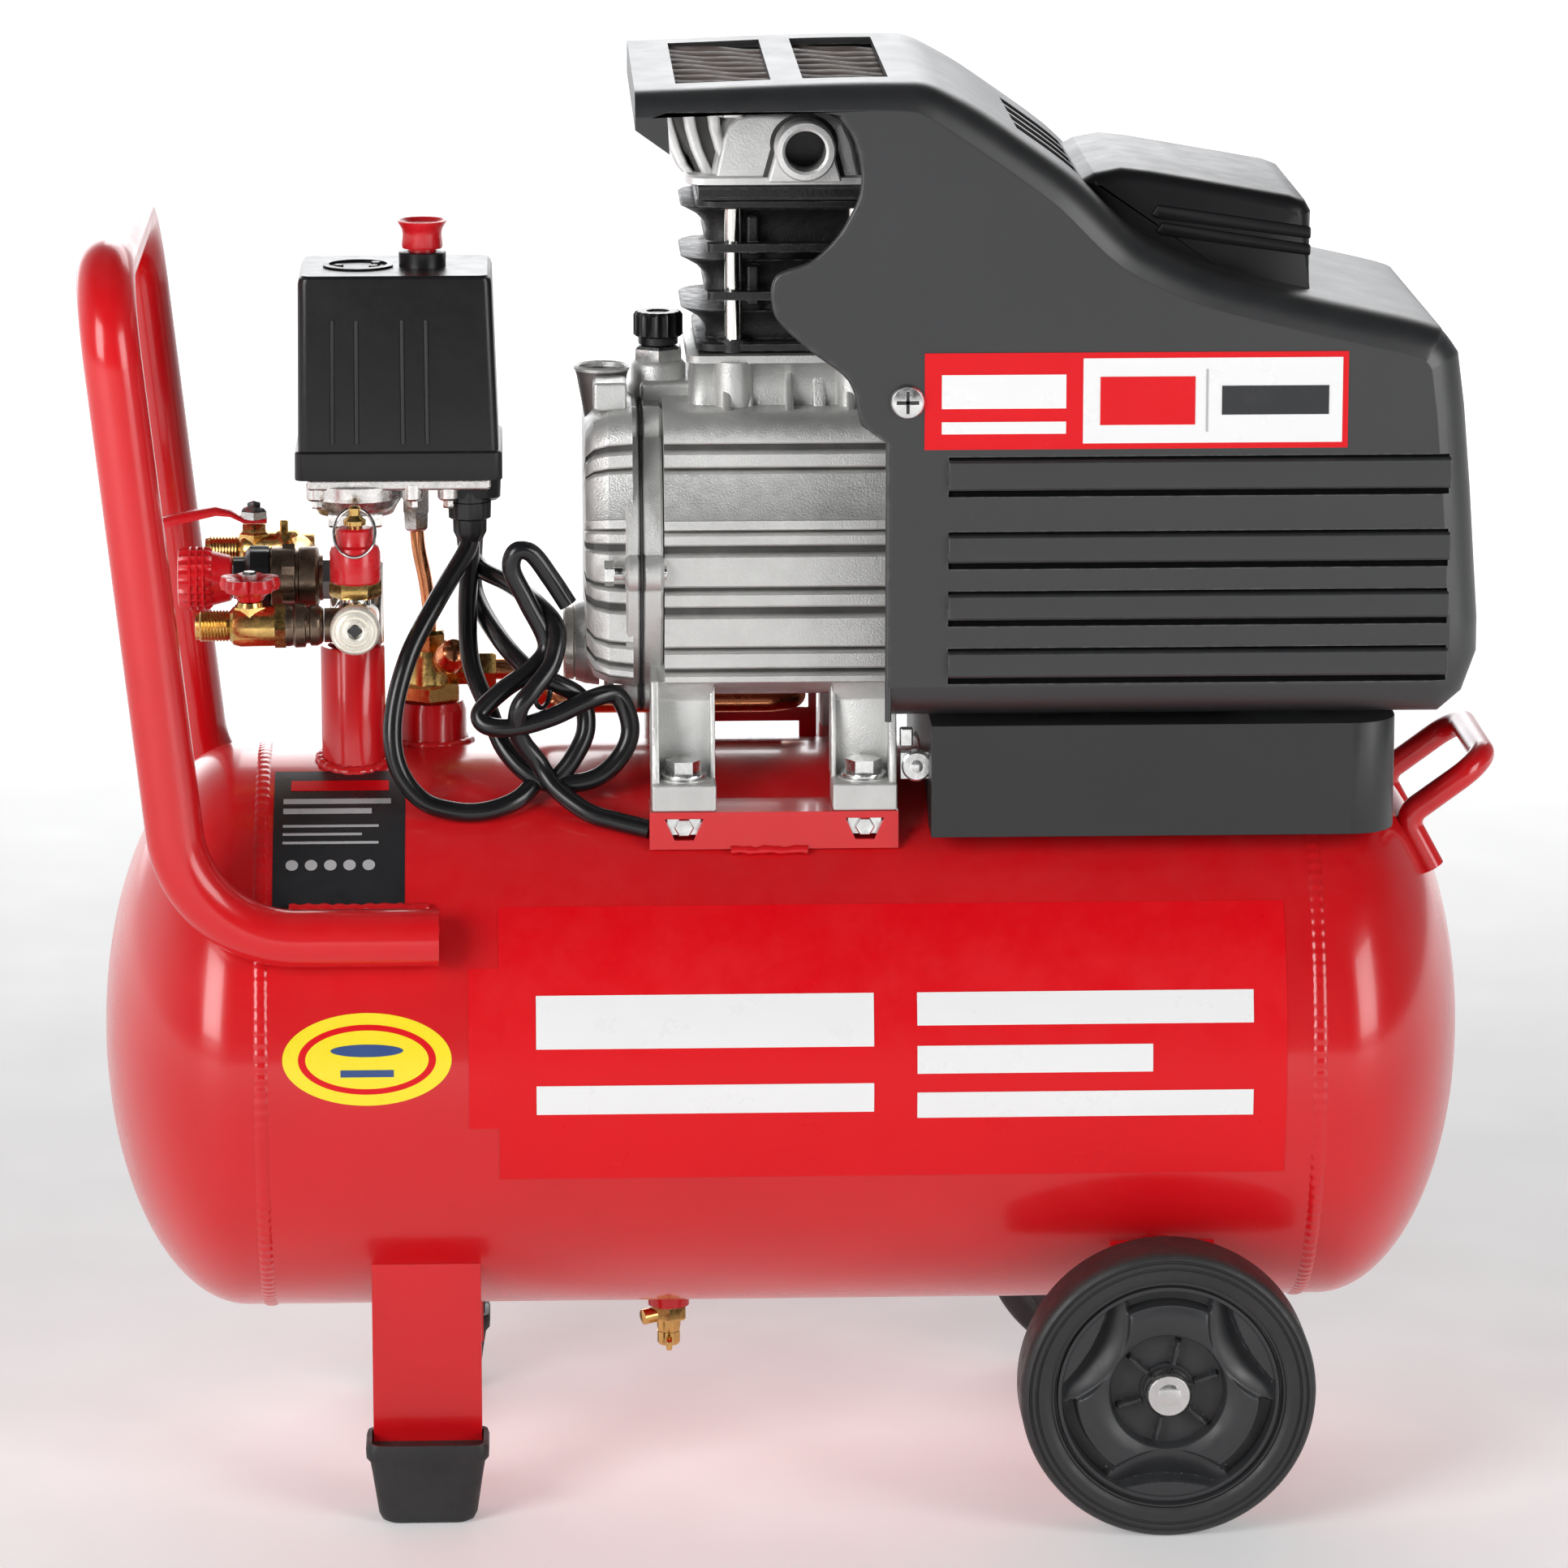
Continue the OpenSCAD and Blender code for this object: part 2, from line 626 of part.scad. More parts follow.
module head_studs() color(steel) both_sides() for (x = stud_places) union() {
    rod_z(474, head_top_z, x, -stud_y, stud_r);
    hex_z(head_top_z - 3, head_top_z + 3, x, -stud_y, 7);
}

// Air path -------------------------------------------------------------------------------------

module delivery_tube() color("peru") bent_bar([
    [intake_x, 42, intake_z], [intake_x, 86, intake_z], [intake_x, 86, 325], [intake_x, 30, 325],
    [-104, 30, 325], [-104, valve_y, 343], [valve_x + 28, valve_y, 343]], [14, 14, 14, 10, 6], 4.5);

module unloader_tube() color("peru") bent_bar([
    [valve_x, valve_y, 360], [valve_x, valve_y, 374], [valve_x - 5, valve_y - 4, 392],
    [valve_x - 5, valve_y - 4, 412]], [20, 20], 3);

poppet_r = 5;

module check_valve_body() color(brass) difference() {
    union() {
        hex_z(330, 338, valve_x, valve_y, 14);
        rod_z(338, 352, valve_x, valve_y, 10);
        hex_z(352, 360, valve_x, valve_y, 7);
        rod_x(valve_x, valve_x + 17, valve_y, 343, 6.5);
        hex_x(valve_x + 16, valve_x + 28, valve_y, 343, 8.5);
    }
    rod_z(332, 342, valve_x, valve_y, poppet_r + running);
    rod_z(329, 333, valve_x, valve_y, 3.5);
    rod_x(valve_x, valve_x + 29, valve_y, 343, 3);
}

module check_poppet() color(near_black) rod_z(332.5, 338, valve_x, valve_y, poppet_r);

module manifold() color("gainsboro") {
    difference() {
        union() {
            rod_z(361, 417, port_x, port_y, 12);
            rod_y(-58, port_y, port_x, arm_z, 10);
            rod_x(-193, port_x, arm_y, arm_z, 7.5);
            rod_x(-194, port_x, port_y, reg_z, 8);
            rod_z(arm_z, 386, port_x, -40, 7);
        }
        rod_z(360, 418, port_x, port_y, 7);
        rod_y(-59, port_y, port_x, arm_z, 6);
    }
    rod_y(-61, -52, port_x, arm_z, 6 - snug);
}

module regulator_body() color("darkgoldenrod") {
    difference() {
        union() {
            rod_x(-216, -194, port_y, reg_z, 12.5);
            rod_y(port_y, 12, -205, 395, 5.5);
        }
        rod_x(-245, -198, valve_y, 395, 7 + snug);
    }
    rod_x(-229, -216, port_y, reg_z, 13);
    rod_x(-244, -229, port_y, reg_z, 5);
}

module regulator_knob() color(red) difference() {
    rod_x(-255, -231, port_y, reg_z, 13.5);
    for (k = [0:15]) translate([0, port_y, reg_z]) rotate([22.5 * k, 0, 0])
        rod_x(-256, -230, 0, 14.2, 1.6);
    rod_x(-245, -230, port_y, reg_z, 5 + running);
}

thread_r = 6.58;

// Brass ball cock with a male outlet thread, a hexagon and a stem post
module cock(x0, x1, stem_x, y, z, post) difference() {
    union() {
        rod_x(x0, x0 + 12, y, z, thread_r);
        rod_x(x0 + 12, x1, y, z, 7);
        hex_x(x0 + 12, x0 + 20, y, z, 9);
        rod_z(z, z + post, stem_x, y, 5.5);
    }
    rod_x(x0 - 1, x0 + 24, y, z, 3);
}

module front_cock() color(brass) cock(-247, -193 - snug, -224, arm_y, arm_z, 10);
module rear_cock() color(brass) cock(-245, -198, -224, valve_y, 395, 12);

module front_cock_wing() color(red) {
    rod_z(arm_z + 10 + snug, arm_z + 16, -224, arm_y, 4.5);
    block([-235, arm_y - 2, arm_z + 12], [-213, arm_y + 2, arm_z + 23]);
}

module rear_cock_lever() color(red) {
    rod_z(407 + snug, 411, -224, valve_y, 6);
    block([-266, valve_y - 4.5, 408], [-224, valve_y + 4.5, 411]);
}

module safety_valve() color(red) difference() {
    union() {
        hex_z(386, 393, port_x, -40, 10);
        rod_z(393, 408, port_x, -40, 10);
        rod_z(408, 414, port_x, -40, 8);
    }
    rod_z(398, 415, port_x, -40, 3 + running);
}

module safety_stem() color(brass) {
    rod_z(399, 416, port_x, -40, 3);
    rod_z(415, 420, port_x, -40, 5);
    translate([port_x, -40, 424]) rotate([90, 0, 0]) rotate_extrude() translate([6, 0]) circle(r = 1);
}

module drain_cock() color(brass) difference() {
    union() {
        hex_z(57, 64 - snug, -49, 0, 8);
        rod_z(52, 58, -49, 0, 5);
    }
    rod_z(51, 62, -49, 0, 2.5);
}

module drain_wing() color(brass) difference() {
    union() {
        rod_z(46, 52 - snug, -49, 0, 5);
        both_sides() block([-50.2, -11, 45], [-47.8, -4, 51]);
    }
    rod_z(44, 53, -49, 0, 2.5);
}

// Pressure switch ------------------------------------------------------------------------------

switch_z = 422;
cover_z = 434;
knob_stem_r = 6;

module switch_base() color(steel) difference() {
    union() {
        block([-202, -30, switch_z], [-121, 30, cover_z]);
        hex_z(417, switch_z + 1, port_x, port_y, 13);
        hex_z(413, switch_z + 1, valve_x - 5, valve_y - 4, 6);
    }
    rod_z(416, 430, port_x, port_y, 7);
    rod_z(412, 430, valve_x - 5, valve_y - 4, 2);
}

module switch_contacts() color("saddlebrown") {
    block([-192, -22, cover_z + snug], [-130, 22, cover_z + 24]);
    for (x = [-184, -173, -162], y = [-15, 15]) rod_z(cover_z + 24, cover_z + 30, x, y, 3);
}

module switch_cover() color(near_black) difference() {
    union() {
        block([-203, -33, cover_z], [-120, 33, 520]);
        block([-205, -34.5, cover_z], [-118, 34.5, cover_z + 12]);
        for (k = [0:3]) block([-188 + 16 * k, -34.5, 462], [-186 + 16 * k, -30, 508]);
        rod_z(518, 526, knob_x, 0, 10);
    }
    block([-200, -30, cover_z - 1], [-123, 30, 517]);
    rod_z(510, 527, knob_x, 0, knob_stem_r + running);
}

module switch_knob() color(red) {
    rod_z(470, 527, knob_x, 0, knob_stem_r);
    rod_z(526 + snug, 533, knob_x, 0, 7.5);
    rod_z(533, 539, knob_x, 0, 10.5);
}

gland_x = -132;

module cable_glands() color(near_black) for (y = [-14, 14]) union() {
    rod_z(switch_z - 6, switch_z - snug, gland_x, y, 9);
    rod_z(switch_z - 14, switch_z - 6, gland_x, y, 7);
}

cord_r = 4;

// Motor cable down to the motor, and the power cord gathered in a loop
module cables() color(near_black) {
    z0 = switch_z - 14.1;
    bent_bar([
        [gland_x, -14, z0], [gland_x, -14, 397], [-164, -44, 355], [-164, -58, 307], [-64, -66, 303]],
        [12, 20, 22], cord_r);
    bent_bar([
        [gland_x, 14, z0], [gland_x, 14, 395], [-120, -34, 345], [-112, -50, 310], [-74, -56, 312],
        [-82, -54, 340], [-110, -52, 372], [-112, -50, 398], [-96, -46, 402]],
        [12, 14, 14, 10, 16, 14, 8], cord_r);
}

// Shroud ---------------------------------------------------------------------------------------

// Top edge of the side view, from the visor to the back of the fan end
slope_front = [[-63, 604], [45, 607], [57, 606], [68, 601], [80, 594], [96, 583], [112, 571.5], [122, 563]];
slope_scoop = [[137, 548], [146, 541], [162, 533], [182, 526], [216, 517.5]];
slope_back = [[262, 507], [270, 502], [276, 494], [279, 472], [282, 438], [286, 383], [286, 369], [280, 352], [270, 343]];
shroud_back = concat(slope_front, slope_scoop, slope_back);

// Lower front edge of the side, which curves around the cylinder
arch = [[40.5, 343], [40.5, 460], [30, 468], [25, 486], [9, 499], [-6, 516], [-5, 528], [9, 534], [25, 552],
    [30, 571], [27, 586], [20, 596], [-50, 596], [-49, 579], [-63, 589]];

// Outline moved towards its own right-hand side by a distance
function side_step(p, i, d) = let(
    a = unit(p[max(i, 1)] - p[max(i, 1) - 1]),
    b = unit(p[min(i, len(p) - 2) + 1] - p[min(i, len(p) - 2)]),
    m = unit(a + b)) p[i] + [m.y, -m.x] * d / (m * a);
function inner_edge(p, d) = [for (i = [0:len(p) - 1]) side_step(p, i, d)];

module louvres(x0, x1) for (x = [x0:5:x1 - 3]) block([x, -70, 595], [x + 3, 70, 612]);

module shroud() color(plastic) {
    path = inner_edge(shroud_back, skin);
    inside = concat(
        [[-60, path[0].y]], [for (i = [1:len(path) - 1]) path[i]],
        [[268, 330], [-70, 330], [-70, 589], [-60, 589]]);
    difference() {
        slab(concat(shroud_back, arch), -shroud_half_w, shroud_half_w);
        slab(inside, -shroud_half_w + skin, shroud_half_w - skin);
        louvres(-46, -7);
        louvres(6, 41);
        for (y = [-60:8:52]) slab([[98, 595], [126, 572], [112, 560], [86, 580]], y, y + 4);
        both_sides() rod_y(-shroud_half_w - 1, -shroud_half_w + skin + 1, post_x, post_z, 2.5);
        both_sides() for (z = [367, 391, 415, 446])
            block([66, -shroud_half_w - 1, z - 6], [262, -shroud_half_w + 1, z + 6]);
    }
}

// Hood over the fan inlet, standing on the slope of the shroud
module air_scoop() color(near_black) {
    foot = [for (i = [len(slope_scoop) - 1:-1:0]) slope_scoop[i]];
    difference() {
        slab(concat([[122, 563], [140, 568], [212, 555.5], [217, 548]], foot), -64, 64);
        slab([[128, 562], [141, 564.8], [210.5, 552.8], [213.7, 546.5], [213, 500], [128, 500]], -61, 61);
        both_sides() slab([[152, 552], [218, 542], [218, 537], [152, 547]], -65, -62.5);
    }
}

// Skirt under the motor, rounded at the wheel end, with a saddle cut for the tank
module skirt(inset, z0, z1) {
    r = 20;
    block([59 + inset, -92 + inset, z0], [254 - r, 92 - inset, z1]);
    block([59 + inset, -92 + r, z0], [254 - inset, 92 - r, z1]);
    both_sides() rod_z(z0, z1, 254 - r, -92 + r, r - inset);
}

module lower_box() color(near_black) difference() {
    skirt(0, 280, 339.5);
    skirt(2.5, 279, 337);
    block([50, -95, 270], [260, 95, 292]);
    tank_outside(2);
}

placed() tank_shell();
placed() tank_head_left();
placed() tank_head_right();
placed() tank_ports();
placed() carry_handle();
placed() tow_handle();
placed() support_brackets();
placed() rubber_feet();
placed() axle_hardware();
placed() wheel_hub_front();
placed() tyre_front();
placed() wheel_hub_rear();
placed() tyre_rear();
placed() pump_bracket();
placed() mount_bolts();
placed() motor_housing();
placed() crankcase_cover();
placed() gaskets();
placed() cover_screws();
placed() sight_glass();
placed() oil_cap();
placed() cylinder_barrel();
placed() piston();
placed() piston_rings();
placed() wrist_pin();
placed() connecting_rod();
placed() crankshaft();
placed() bearings();
placed() rotor_core();
placed() stator_core();
placed() stator_windings();
placed() end_shield();
placed() cooling_fan();
placed() valve_plate();
placed() cylinder_head();
placed() head_studs();
placed() delivery_tube();
placed() unloader_tube();
placed() check_valve_body();
placed() check_poppet();
placed() switch_base();
placed() switch_contacts();
placed() switch_cover();
placed() switch_knob();
placed() cable_glands();
placed() cables();
placed() manifold();
placed() regulator_body();
placed() regulator_knob();
placed() front_cock();
placed() front_cock_wing();
placed() rear_cock();
placed() rear_cock_lever();
placed() safety_valve();
placed() safety_stem();
placed() drain_cock();
placed() drain_wing();
placed() shroud();
placed() air_scoop();
placed() lower_box();
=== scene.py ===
"""Looks of a portable single-cylinder air compressor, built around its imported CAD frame.

Lengths in this script are in millimetres, measured from the middle of the tank, with +X towards
the wheels, -Y towards the front and +Z up. at() turns them into the frame's metres.
"""
import json
import math
import bmesh
import bpy
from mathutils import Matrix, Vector, noise

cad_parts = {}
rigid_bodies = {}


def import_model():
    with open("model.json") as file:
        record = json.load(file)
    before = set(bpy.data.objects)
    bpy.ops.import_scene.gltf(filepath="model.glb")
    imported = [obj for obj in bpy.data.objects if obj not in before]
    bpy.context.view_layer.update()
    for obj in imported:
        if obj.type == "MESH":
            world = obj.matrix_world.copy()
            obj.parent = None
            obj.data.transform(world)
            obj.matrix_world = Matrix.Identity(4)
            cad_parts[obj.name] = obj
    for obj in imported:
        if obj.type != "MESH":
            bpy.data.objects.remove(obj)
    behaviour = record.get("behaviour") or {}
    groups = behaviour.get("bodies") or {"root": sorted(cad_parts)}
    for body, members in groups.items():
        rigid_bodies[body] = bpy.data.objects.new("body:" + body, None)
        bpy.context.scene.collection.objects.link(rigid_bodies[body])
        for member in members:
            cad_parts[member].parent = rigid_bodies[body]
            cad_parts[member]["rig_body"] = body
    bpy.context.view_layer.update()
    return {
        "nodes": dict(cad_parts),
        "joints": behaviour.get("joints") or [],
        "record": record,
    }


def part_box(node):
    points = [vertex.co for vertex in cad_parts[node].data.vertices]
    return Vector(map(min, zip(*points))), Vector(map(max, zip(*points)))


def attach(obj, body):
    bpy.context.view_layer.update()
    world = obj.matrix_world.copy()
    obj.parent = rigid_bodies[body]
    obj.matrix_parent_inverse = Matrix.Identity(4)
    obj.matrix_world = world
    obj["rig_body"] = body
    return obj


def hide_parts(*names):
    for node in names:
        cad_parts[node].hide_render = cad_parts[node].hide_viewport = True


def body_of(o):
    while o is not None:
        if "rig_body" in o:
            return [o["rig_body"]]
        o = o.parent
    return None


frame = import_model()

MM = 0.001
TAU = 2 * math.pi
AXES = {"x": Vector((1, 0, 0)), "y": Vector((0, 1, 0)), "z": Vector((0, 0, 1)),
        "-x": Vector((-1, 0, 0)), "-y": Vector((0, -1, 0)), "-z": Vector((0, 0, -1))}
MIDDLE_X = sum(corner.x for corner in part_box("tank_shell")) / 2


def at(x, y, z):
    """A place in millimetres from the tank's middle, in the frame's metres."""
    return Vector((MIDDLE_X + x * MM, y * MM, z * MM))


class Span:
    """A CAD node's box in millimetres from the tank's middle."""

    def __init__(self, node):
        low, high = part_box(node)
        shift = Vector((MIDDLE_X, 0, 0))
        self.low = (low - shift) / MM
        self.high = (high - shift) / MM
        self.mid = (self.low + self.high) / 2
        self.size = self.high - self.low


def landmark(rows, name):
    """Where a joint or a mount of the record is, in millimetres from the tank's middle."""
    x, y, z = next(row for row in rows if row["name"] == name)["pos_m"]
    return tuple(round(length / MM, 3) for length in (x - MIDDLE_X, y, z))


def under(place):
    """The foot of the upright line through a place."""
    return (place[0], place[1], 0)


def beside(place):
    """Where the line along the tank through a place crosses its middle."""
    return (0, place[1], place[2])


# Driving places, from the record's joints and mounts
JOINTS = frame["joints"]
MOUNTS = frame["record"]["mounts"]
CYL_X = landmark(JOINTS, "rod_swing")[0]
SHAFT_Z = landmark(JOINTS, "crank_spin")[2]
FILLER = under(landmark(JOINTS, "oil_cap_turn"))
TAP = under(landmark(JOINTS, "drain_turn"))
WING = under(landmark(JOINTS, "front_cock_turn"))
LEVER = under(landmark(JOINTS, "rear_cock_turn"))
REGULATOR = beside(landmark(JOINTS, "regulator_turn"))
FRONT_PIPE = beside(landmark(MOUNTS, "front_outlet"))
REAR_PIPE = beside(landmark(MOUNTS, "rear_outlet"))
INTAKE_X, _, INTAKE_Z = landmark(MOUNTS, "intake_port")
INTAKE = (INTAKE_X, 0, INTAKE_Z)

# Materials ------------------------------------------------------------------------------------

class Nodes:
    """A few short calls for wiring a node tree."""

    def __init__(self, tree):
        self.tree = tree

    def new(self, kind):
        return self.tree.nodes.new("ShaderNode" + kind)

    def link(self, source, target):
        self.tree.links.new(source, target)

    def place(self, space="Object"):
        return self.new("TexCoord").outputs[space]

    def part(self, vector, axis):
        """One of the three parts of a vector."""
        split = self.new("SeparateXYZ")
        self.link(vector, split.inputs[0])
        return split.outputs[axis]

    def noise(self, scale, detail=3.0, rough=0.5, stretch=None):
        node = self.new("TexNoise")
        node.inputs["Scale"].default_value = scale
        node.inputs["Detail"].default_value = detail
        node.inputs["Roughness"].default_value = rough
        place = self.place()
        if stretch:
            mapping = self.new("Mapping")
            mapping.inputs["Scale"].default_value = stretch
            self.link(place, mapping.inputs["Vector"])
            place = mapping.outputs["Vector"]
        self.link(place, node.inputs["Vector"])
        return node.outputs["Fac"]

    def remap(self, source, low, high, to_low, to_high, kind="LINEAR"):
        node = self.new("MapRange")
        node.interpolation_type = kind
        for name, value in (("From Min", low), ("From Max", high), ("To Min", to_low), ("To Max", to_high)):
            node.inputs[name].default_value = value
        self.link(source, node.inputs["Value"])
        return node.outputs["Result"]

    def multiply(self, *sources):
        product = sources[0]
        for source in sources[1:]:
            node = self.new("Math")
            node.operation = "MULTIPLY"
            self.link(product, node.inputs[0])
            self.link(source, node.inputs[1])
            product = node.outputs[0]
        return product

    def mix(self, factor, first, second):
        """A colour between two, each given as a colour or as a socket."""
        node = self.new("Mix")
        node.data_type = "RGBA"
        for socket, value in zip([s for s in node.inputs if s.type == "RGBA"], (first, second)):
            if isinstance(value, tuple):
                socket.default_value = (*value, 1)
            else:
                self.link(value, socket)
        self.link(factor, node.inputs["Factor"])
        return [s for s in node.outputs if s.type == "RGBA"][0]

    def vector_math(self, operation, *sources):
        node = self.new("VectorMath")
        node.operation = operation
        for source, target in zip(sources, node.inputs):
            self.link(source, target)
        return node.outputs["Value"]

    def edges(self, radius):
        """1 on sharp edges and 0 on flats, from how much a rounded normal leaves the true one."""
        bevel = self.new("Bevel")
        bevel.samples = 4
        bevel.inputs["Radius"].default_value = radius
        normal = self.new("NewGeometry").outputs["Normal"]
        return self.remap(self.vector_math("DOT_PRODUCT", bevel.outputs["Normal"], normal), 0.995, 0.86, 0, 1)

    def bump(self, layers):
        """Stacks (height, strength, distance) bumps."""
        normal = None
        for height, strength, distance in layers:
            node = self.new("Bump")
            node.inputs["Strength"].default_value = strength
            node.inputs["Distance"].default_value = distance
            self.link(height, node.inputs["Height"])
            if normal is not None:
                self.link(normal, node.inputs["Normal"])
            normal = node.outputs["Normal"]
        return normal


def material(name, colour, roughness, metallic=0.0, variation=0.12, patch=14, rough_swing=0.12,
             grains=((900, 0.12, 0.0002),), coat=0.0, edge_colour=None, edge_radius=0.0008, dust=None,
             specular=0.5, stretch=None):
    """A finish with uneven colour and roughness, bump at one or more scales, and a colour on its edges (wear,
    and on the shroud plastic also a painted highlight) or dust.
    """
    finish = bpy.data.materials.new(name)
    finish.use_nodes = True
    n = Nodes(finish.node_tree)
    shader = n.tree.nodes["Principled BSDF"]
    dark = tuple(c * (1 - variation) for c in colour)
    light = tuple(min(1, c * (1 + variation)) for c in colour)
    base = n.mix(n.remap(n.noise(patch, 4, 0.6, stretch), 0.3, 0.7, 0, 1), dark, light)
    rough = n.remap(n.noise(patch * 6, 5, 0.65, stretch), 0.3, 0.7,
                    max(0.02, roughness - rough_swing), min(1, roughness + rough_swing))
    if dust:
        amount, dust_colour = dust
        facing = n.remap(n.part(n.new("NewGeometry").outputs["Normal"], "Z"), 0.1, 1.0, 0, amount)
        cloud = n.remap(n.noise(60, 6, 0.7), 0.35, 0.7, 0.2, 1)
        base = n.mix(n.multiply(facing, cloud), base, dust_colour)
    # Edges take their own colour in patches: wear, and on the shroud plastic partly a painted highlight
    if edge_colour:
        edge_patches = n.remap(n.noise(220, 4, 0.6), 0.42, 0.62, 0, 0.85)
        base = n.mix(n.multiply(n.edges(edge_radius), edge_patches), base, edge_colour)
    n.link(base, shader.inputs["Base Color"])
    n.link(rough, shader.inputs["Roughness"])
    shader.inputs["Metallic"].default_value = metallic
    shader.inputs["Specular IOR Level"].default_value = specular
    shader.inputs["Coat Weight"].default_value = coat
    shader.inputs["Coat Roughness"].default_value = 0.06
    heights = [(n.noise(scale, 3, 0.55, stretch), strength, distance) for scale, strength, distance in grains]
    n.link(n.bump(heights), shader.inputs["Normal"])
    return finish


RED = (0.62, 0.005, 0.009)
PAINT = material("red_enamel", RED, 0.22, variation=0.10, patch=5, rough_swing=0.05, coat=0.25,
                 grains=((140, 0.05, 0.0006), (900, 0.03, 0.0001)), edge_colour=(0.28, 0.02, 0.02),
                 dust=(0.05, (0.60, 0.28, 0.26)))
CAST = material("cast_aluminium", (0.62, 0.62, 0.605), 0.42, 0.65, variation=0.10, patch=30,
                grains=((1300, 0.55, 0.0004), (260, 0.2, 0.0005)), edge_colour=(0.90, 0.90, 0.88),
                rough_swing=0.10)
# Painted shade: a dark finish for the recesses of the castings, where shade falls
RECESS_SHADE = material("painted_recess_shade", (0.075, 0.073, 0.07), 0.6, 0.3, variation=0.3, patch=60,
                 grains=((900, 0.3, 0.0003),))
# Painted light: a lighter copy of the cast aluminium for the cylinder head, standing for the light that falls
# on it
HEAD_CAST_PAINTED_LIGHT = material("casting_painted_lighter", (0.86, 0.86, 0.85), 0.40, 0.50, variation=0.08, patch=30,
                     grains=((1300, 0.45, 0.0004), (260, 0.2, 0.0005)), edge_colour=(0.95, 0.95, 0.94))
MACHINED = material("machined_aluminium", (0.66, 0.66, 0.65), 0.30, 1.0, variation=0.10, patch=40,
                    grains=((1200, 0.12, 0.0001),))
IRON = material("black_cast_iron", (0.011, 0.011, 0.012), 0.42, 0.1, variation=0.35, patch=40,
                grains=((900, 0.45, 0.0004), (200, 0.2, 0.0006)), edge_colour=(0.16, 0.16, 0.165))
ZINC = material("zinc_plate", (0.70, 0.70, 0.69), 0.22, 1.0, variation=0.15, patch=60,
                grains=((700, 0.12, 0.0001),), edge_colour=(0.9, 0.9, 0.9))
NICKEL = material("nickel_plate", (0.78, 0.77, 0.74), 0.14, 1.0, variation=0.10, patch=50,
                  grains=((500, 0.06, 0.0001),), rough_swing=0.06)
BRASS = material("machined_brass", (0.66, 0.42, 0.14), 0.24, 1.0, variation=0.22, patch=60,
                 grains=((900, 0.14, 0.0001),), edge_colour=(0.86, 0.66, 0.34))
BRONZE = material("dull_bronze", (0.20, 0.145, 0.105), 0.34, 0.95, variation=0.35, patch=70,
                  grains=((500, 0.25, 0.0002),), edge_colour=(0.52, 0.42, 0.32))
COPPER = material("copper_tube", (0.76, 0.30, 0.14), 0.22, 1.0, variation=0.22, patch=50,
                  grains=((400, 0.10, 0.0001),))
# Its lighter edges are partly edge wear and partly a painted highlight along the rims
CHARCOAL = material("shroud_plastic", (0.012, 0.0125, 0.0138), 0.40, variation=0.12, patch=9,
                    grains=((2200, 0.22, 0.0002),), rough_swing=0.03, specular=0.85,
                    dust=(0.05, (0.30, 0.30, 0.30)), edge_colour=(0.13, 0.13, 0.135), edge_radius=0.001)
BLACK = material("black_plastic", (0.008, 0.008, 0.009), 0.32, variation=0.2, patch=20,
                 grains=((1600, 0.18, 0.0002),), rough_swing=0.04, dust=(0.04, (0.2, 0.2, 0.2)), specular=0.4)
SATIN_BLACK = material("satin_black_plastic", (0.028, 0.029, 0.031), 0.42, variation=0.2, patch=16,
                       grains=((1800, 0.2, 0.0002),), dust=(0.08, (0.25, 0.25, 0.25)))
HOOD_BLACK = material("hood_plastic", (0.009, 0.009, 0.010), 0.36, variation=0.15, patch=12,
                      grains=((1800, 0.2, 0.0002),), rough_swing=0.04, specular=0.22)
RUBBER = material("moulded_rubber", (0.016, 0.016, 0.017), 0.55, variation=0.3, patch=25,
                  grains=((1300, 0.25, 0.0002),), dust=(0.12, (0.20, 0.20, 0.19)))
TYRE = material("tyre_rubber", (0.020, 0.020, 0.021), 0.50, variation=0.25, patch=25,
                grains=((1500, 0.22, 0.0002), (120, 0.05, 0.0005)), dust=(0.15, (0.18, 0.17, 0.16)))
SHEATH = material("cable_sheath", (0.008, 0.008, 0.009), 0.22, variation=0.2, patch=30,
                  grains=((700, 0.06, 0.0001),), rough_swing=0.05)
RED_PLASTIC = material("red_plastic", (0.62, 0.008, 0.014), 0.30, variation=0.12, patch=40,
                       grains=((1200, 0.10, 0.0001),), coat=0.2)
GASKET = material("gasket_paper", (0.03, 0.03, 0.03), 0.7, variation=0.3, patch=80)
WINDING = material("varnished_copper", (0.40, 0.12, 0.04), 0.3, 0.8, variation=0.3, patch=120,
                   stretch=(8, 1, 1))
STEEL = material("ground_steel", (0.50, 0.50, 0.50), 0.28, 1.0, variation=0.12, patch=60)
AMBER = material("amber_window", (0.80, 0.42, 0.06), 0.12, variation=0.15, patch=60, coat=0.8)
MESH_BROWN = material("grille_mesh", (0.16, 0.125, 0.11), 0.5, variation=0.35, patch=60,
                      grains=((900, 0.2, 0.0003),), stretch=(0.4, 2.5, 1))
WHITE_PRINT = material("white_print", (0.80, 0.80, 0.80), 0.34, variation=0.012, patch=12,
                       grains=((500, 0.02, 0.0001),))
RED_PRINT = material("red_print", (0.68, 0.002, 0.007), 0.36, variation=0.04, patch=8,
                     grains=((300, 0.02, 0.0001),), specular=0.3)
BLACK_PRINT = material("black_print", (0.018, 0.019, 0.021), 0.34, variation=0.12, patch=12,
                       grains=((500, 0.03, 0.0001),))
YELLOW_PRINT = material("yellow_print", (0.90, 0.72, 0.02), 0.30, variation=0.04, patch=12,
                        grains=((500, 0.02, 0.0001),))
WHITE_METAL = material("cream_nickel", (0.80, 0.77, 0.68), 0.32, 0.5, variation=0.10, patch=60,
                       grains=((500, 0.08, 0.0001),))
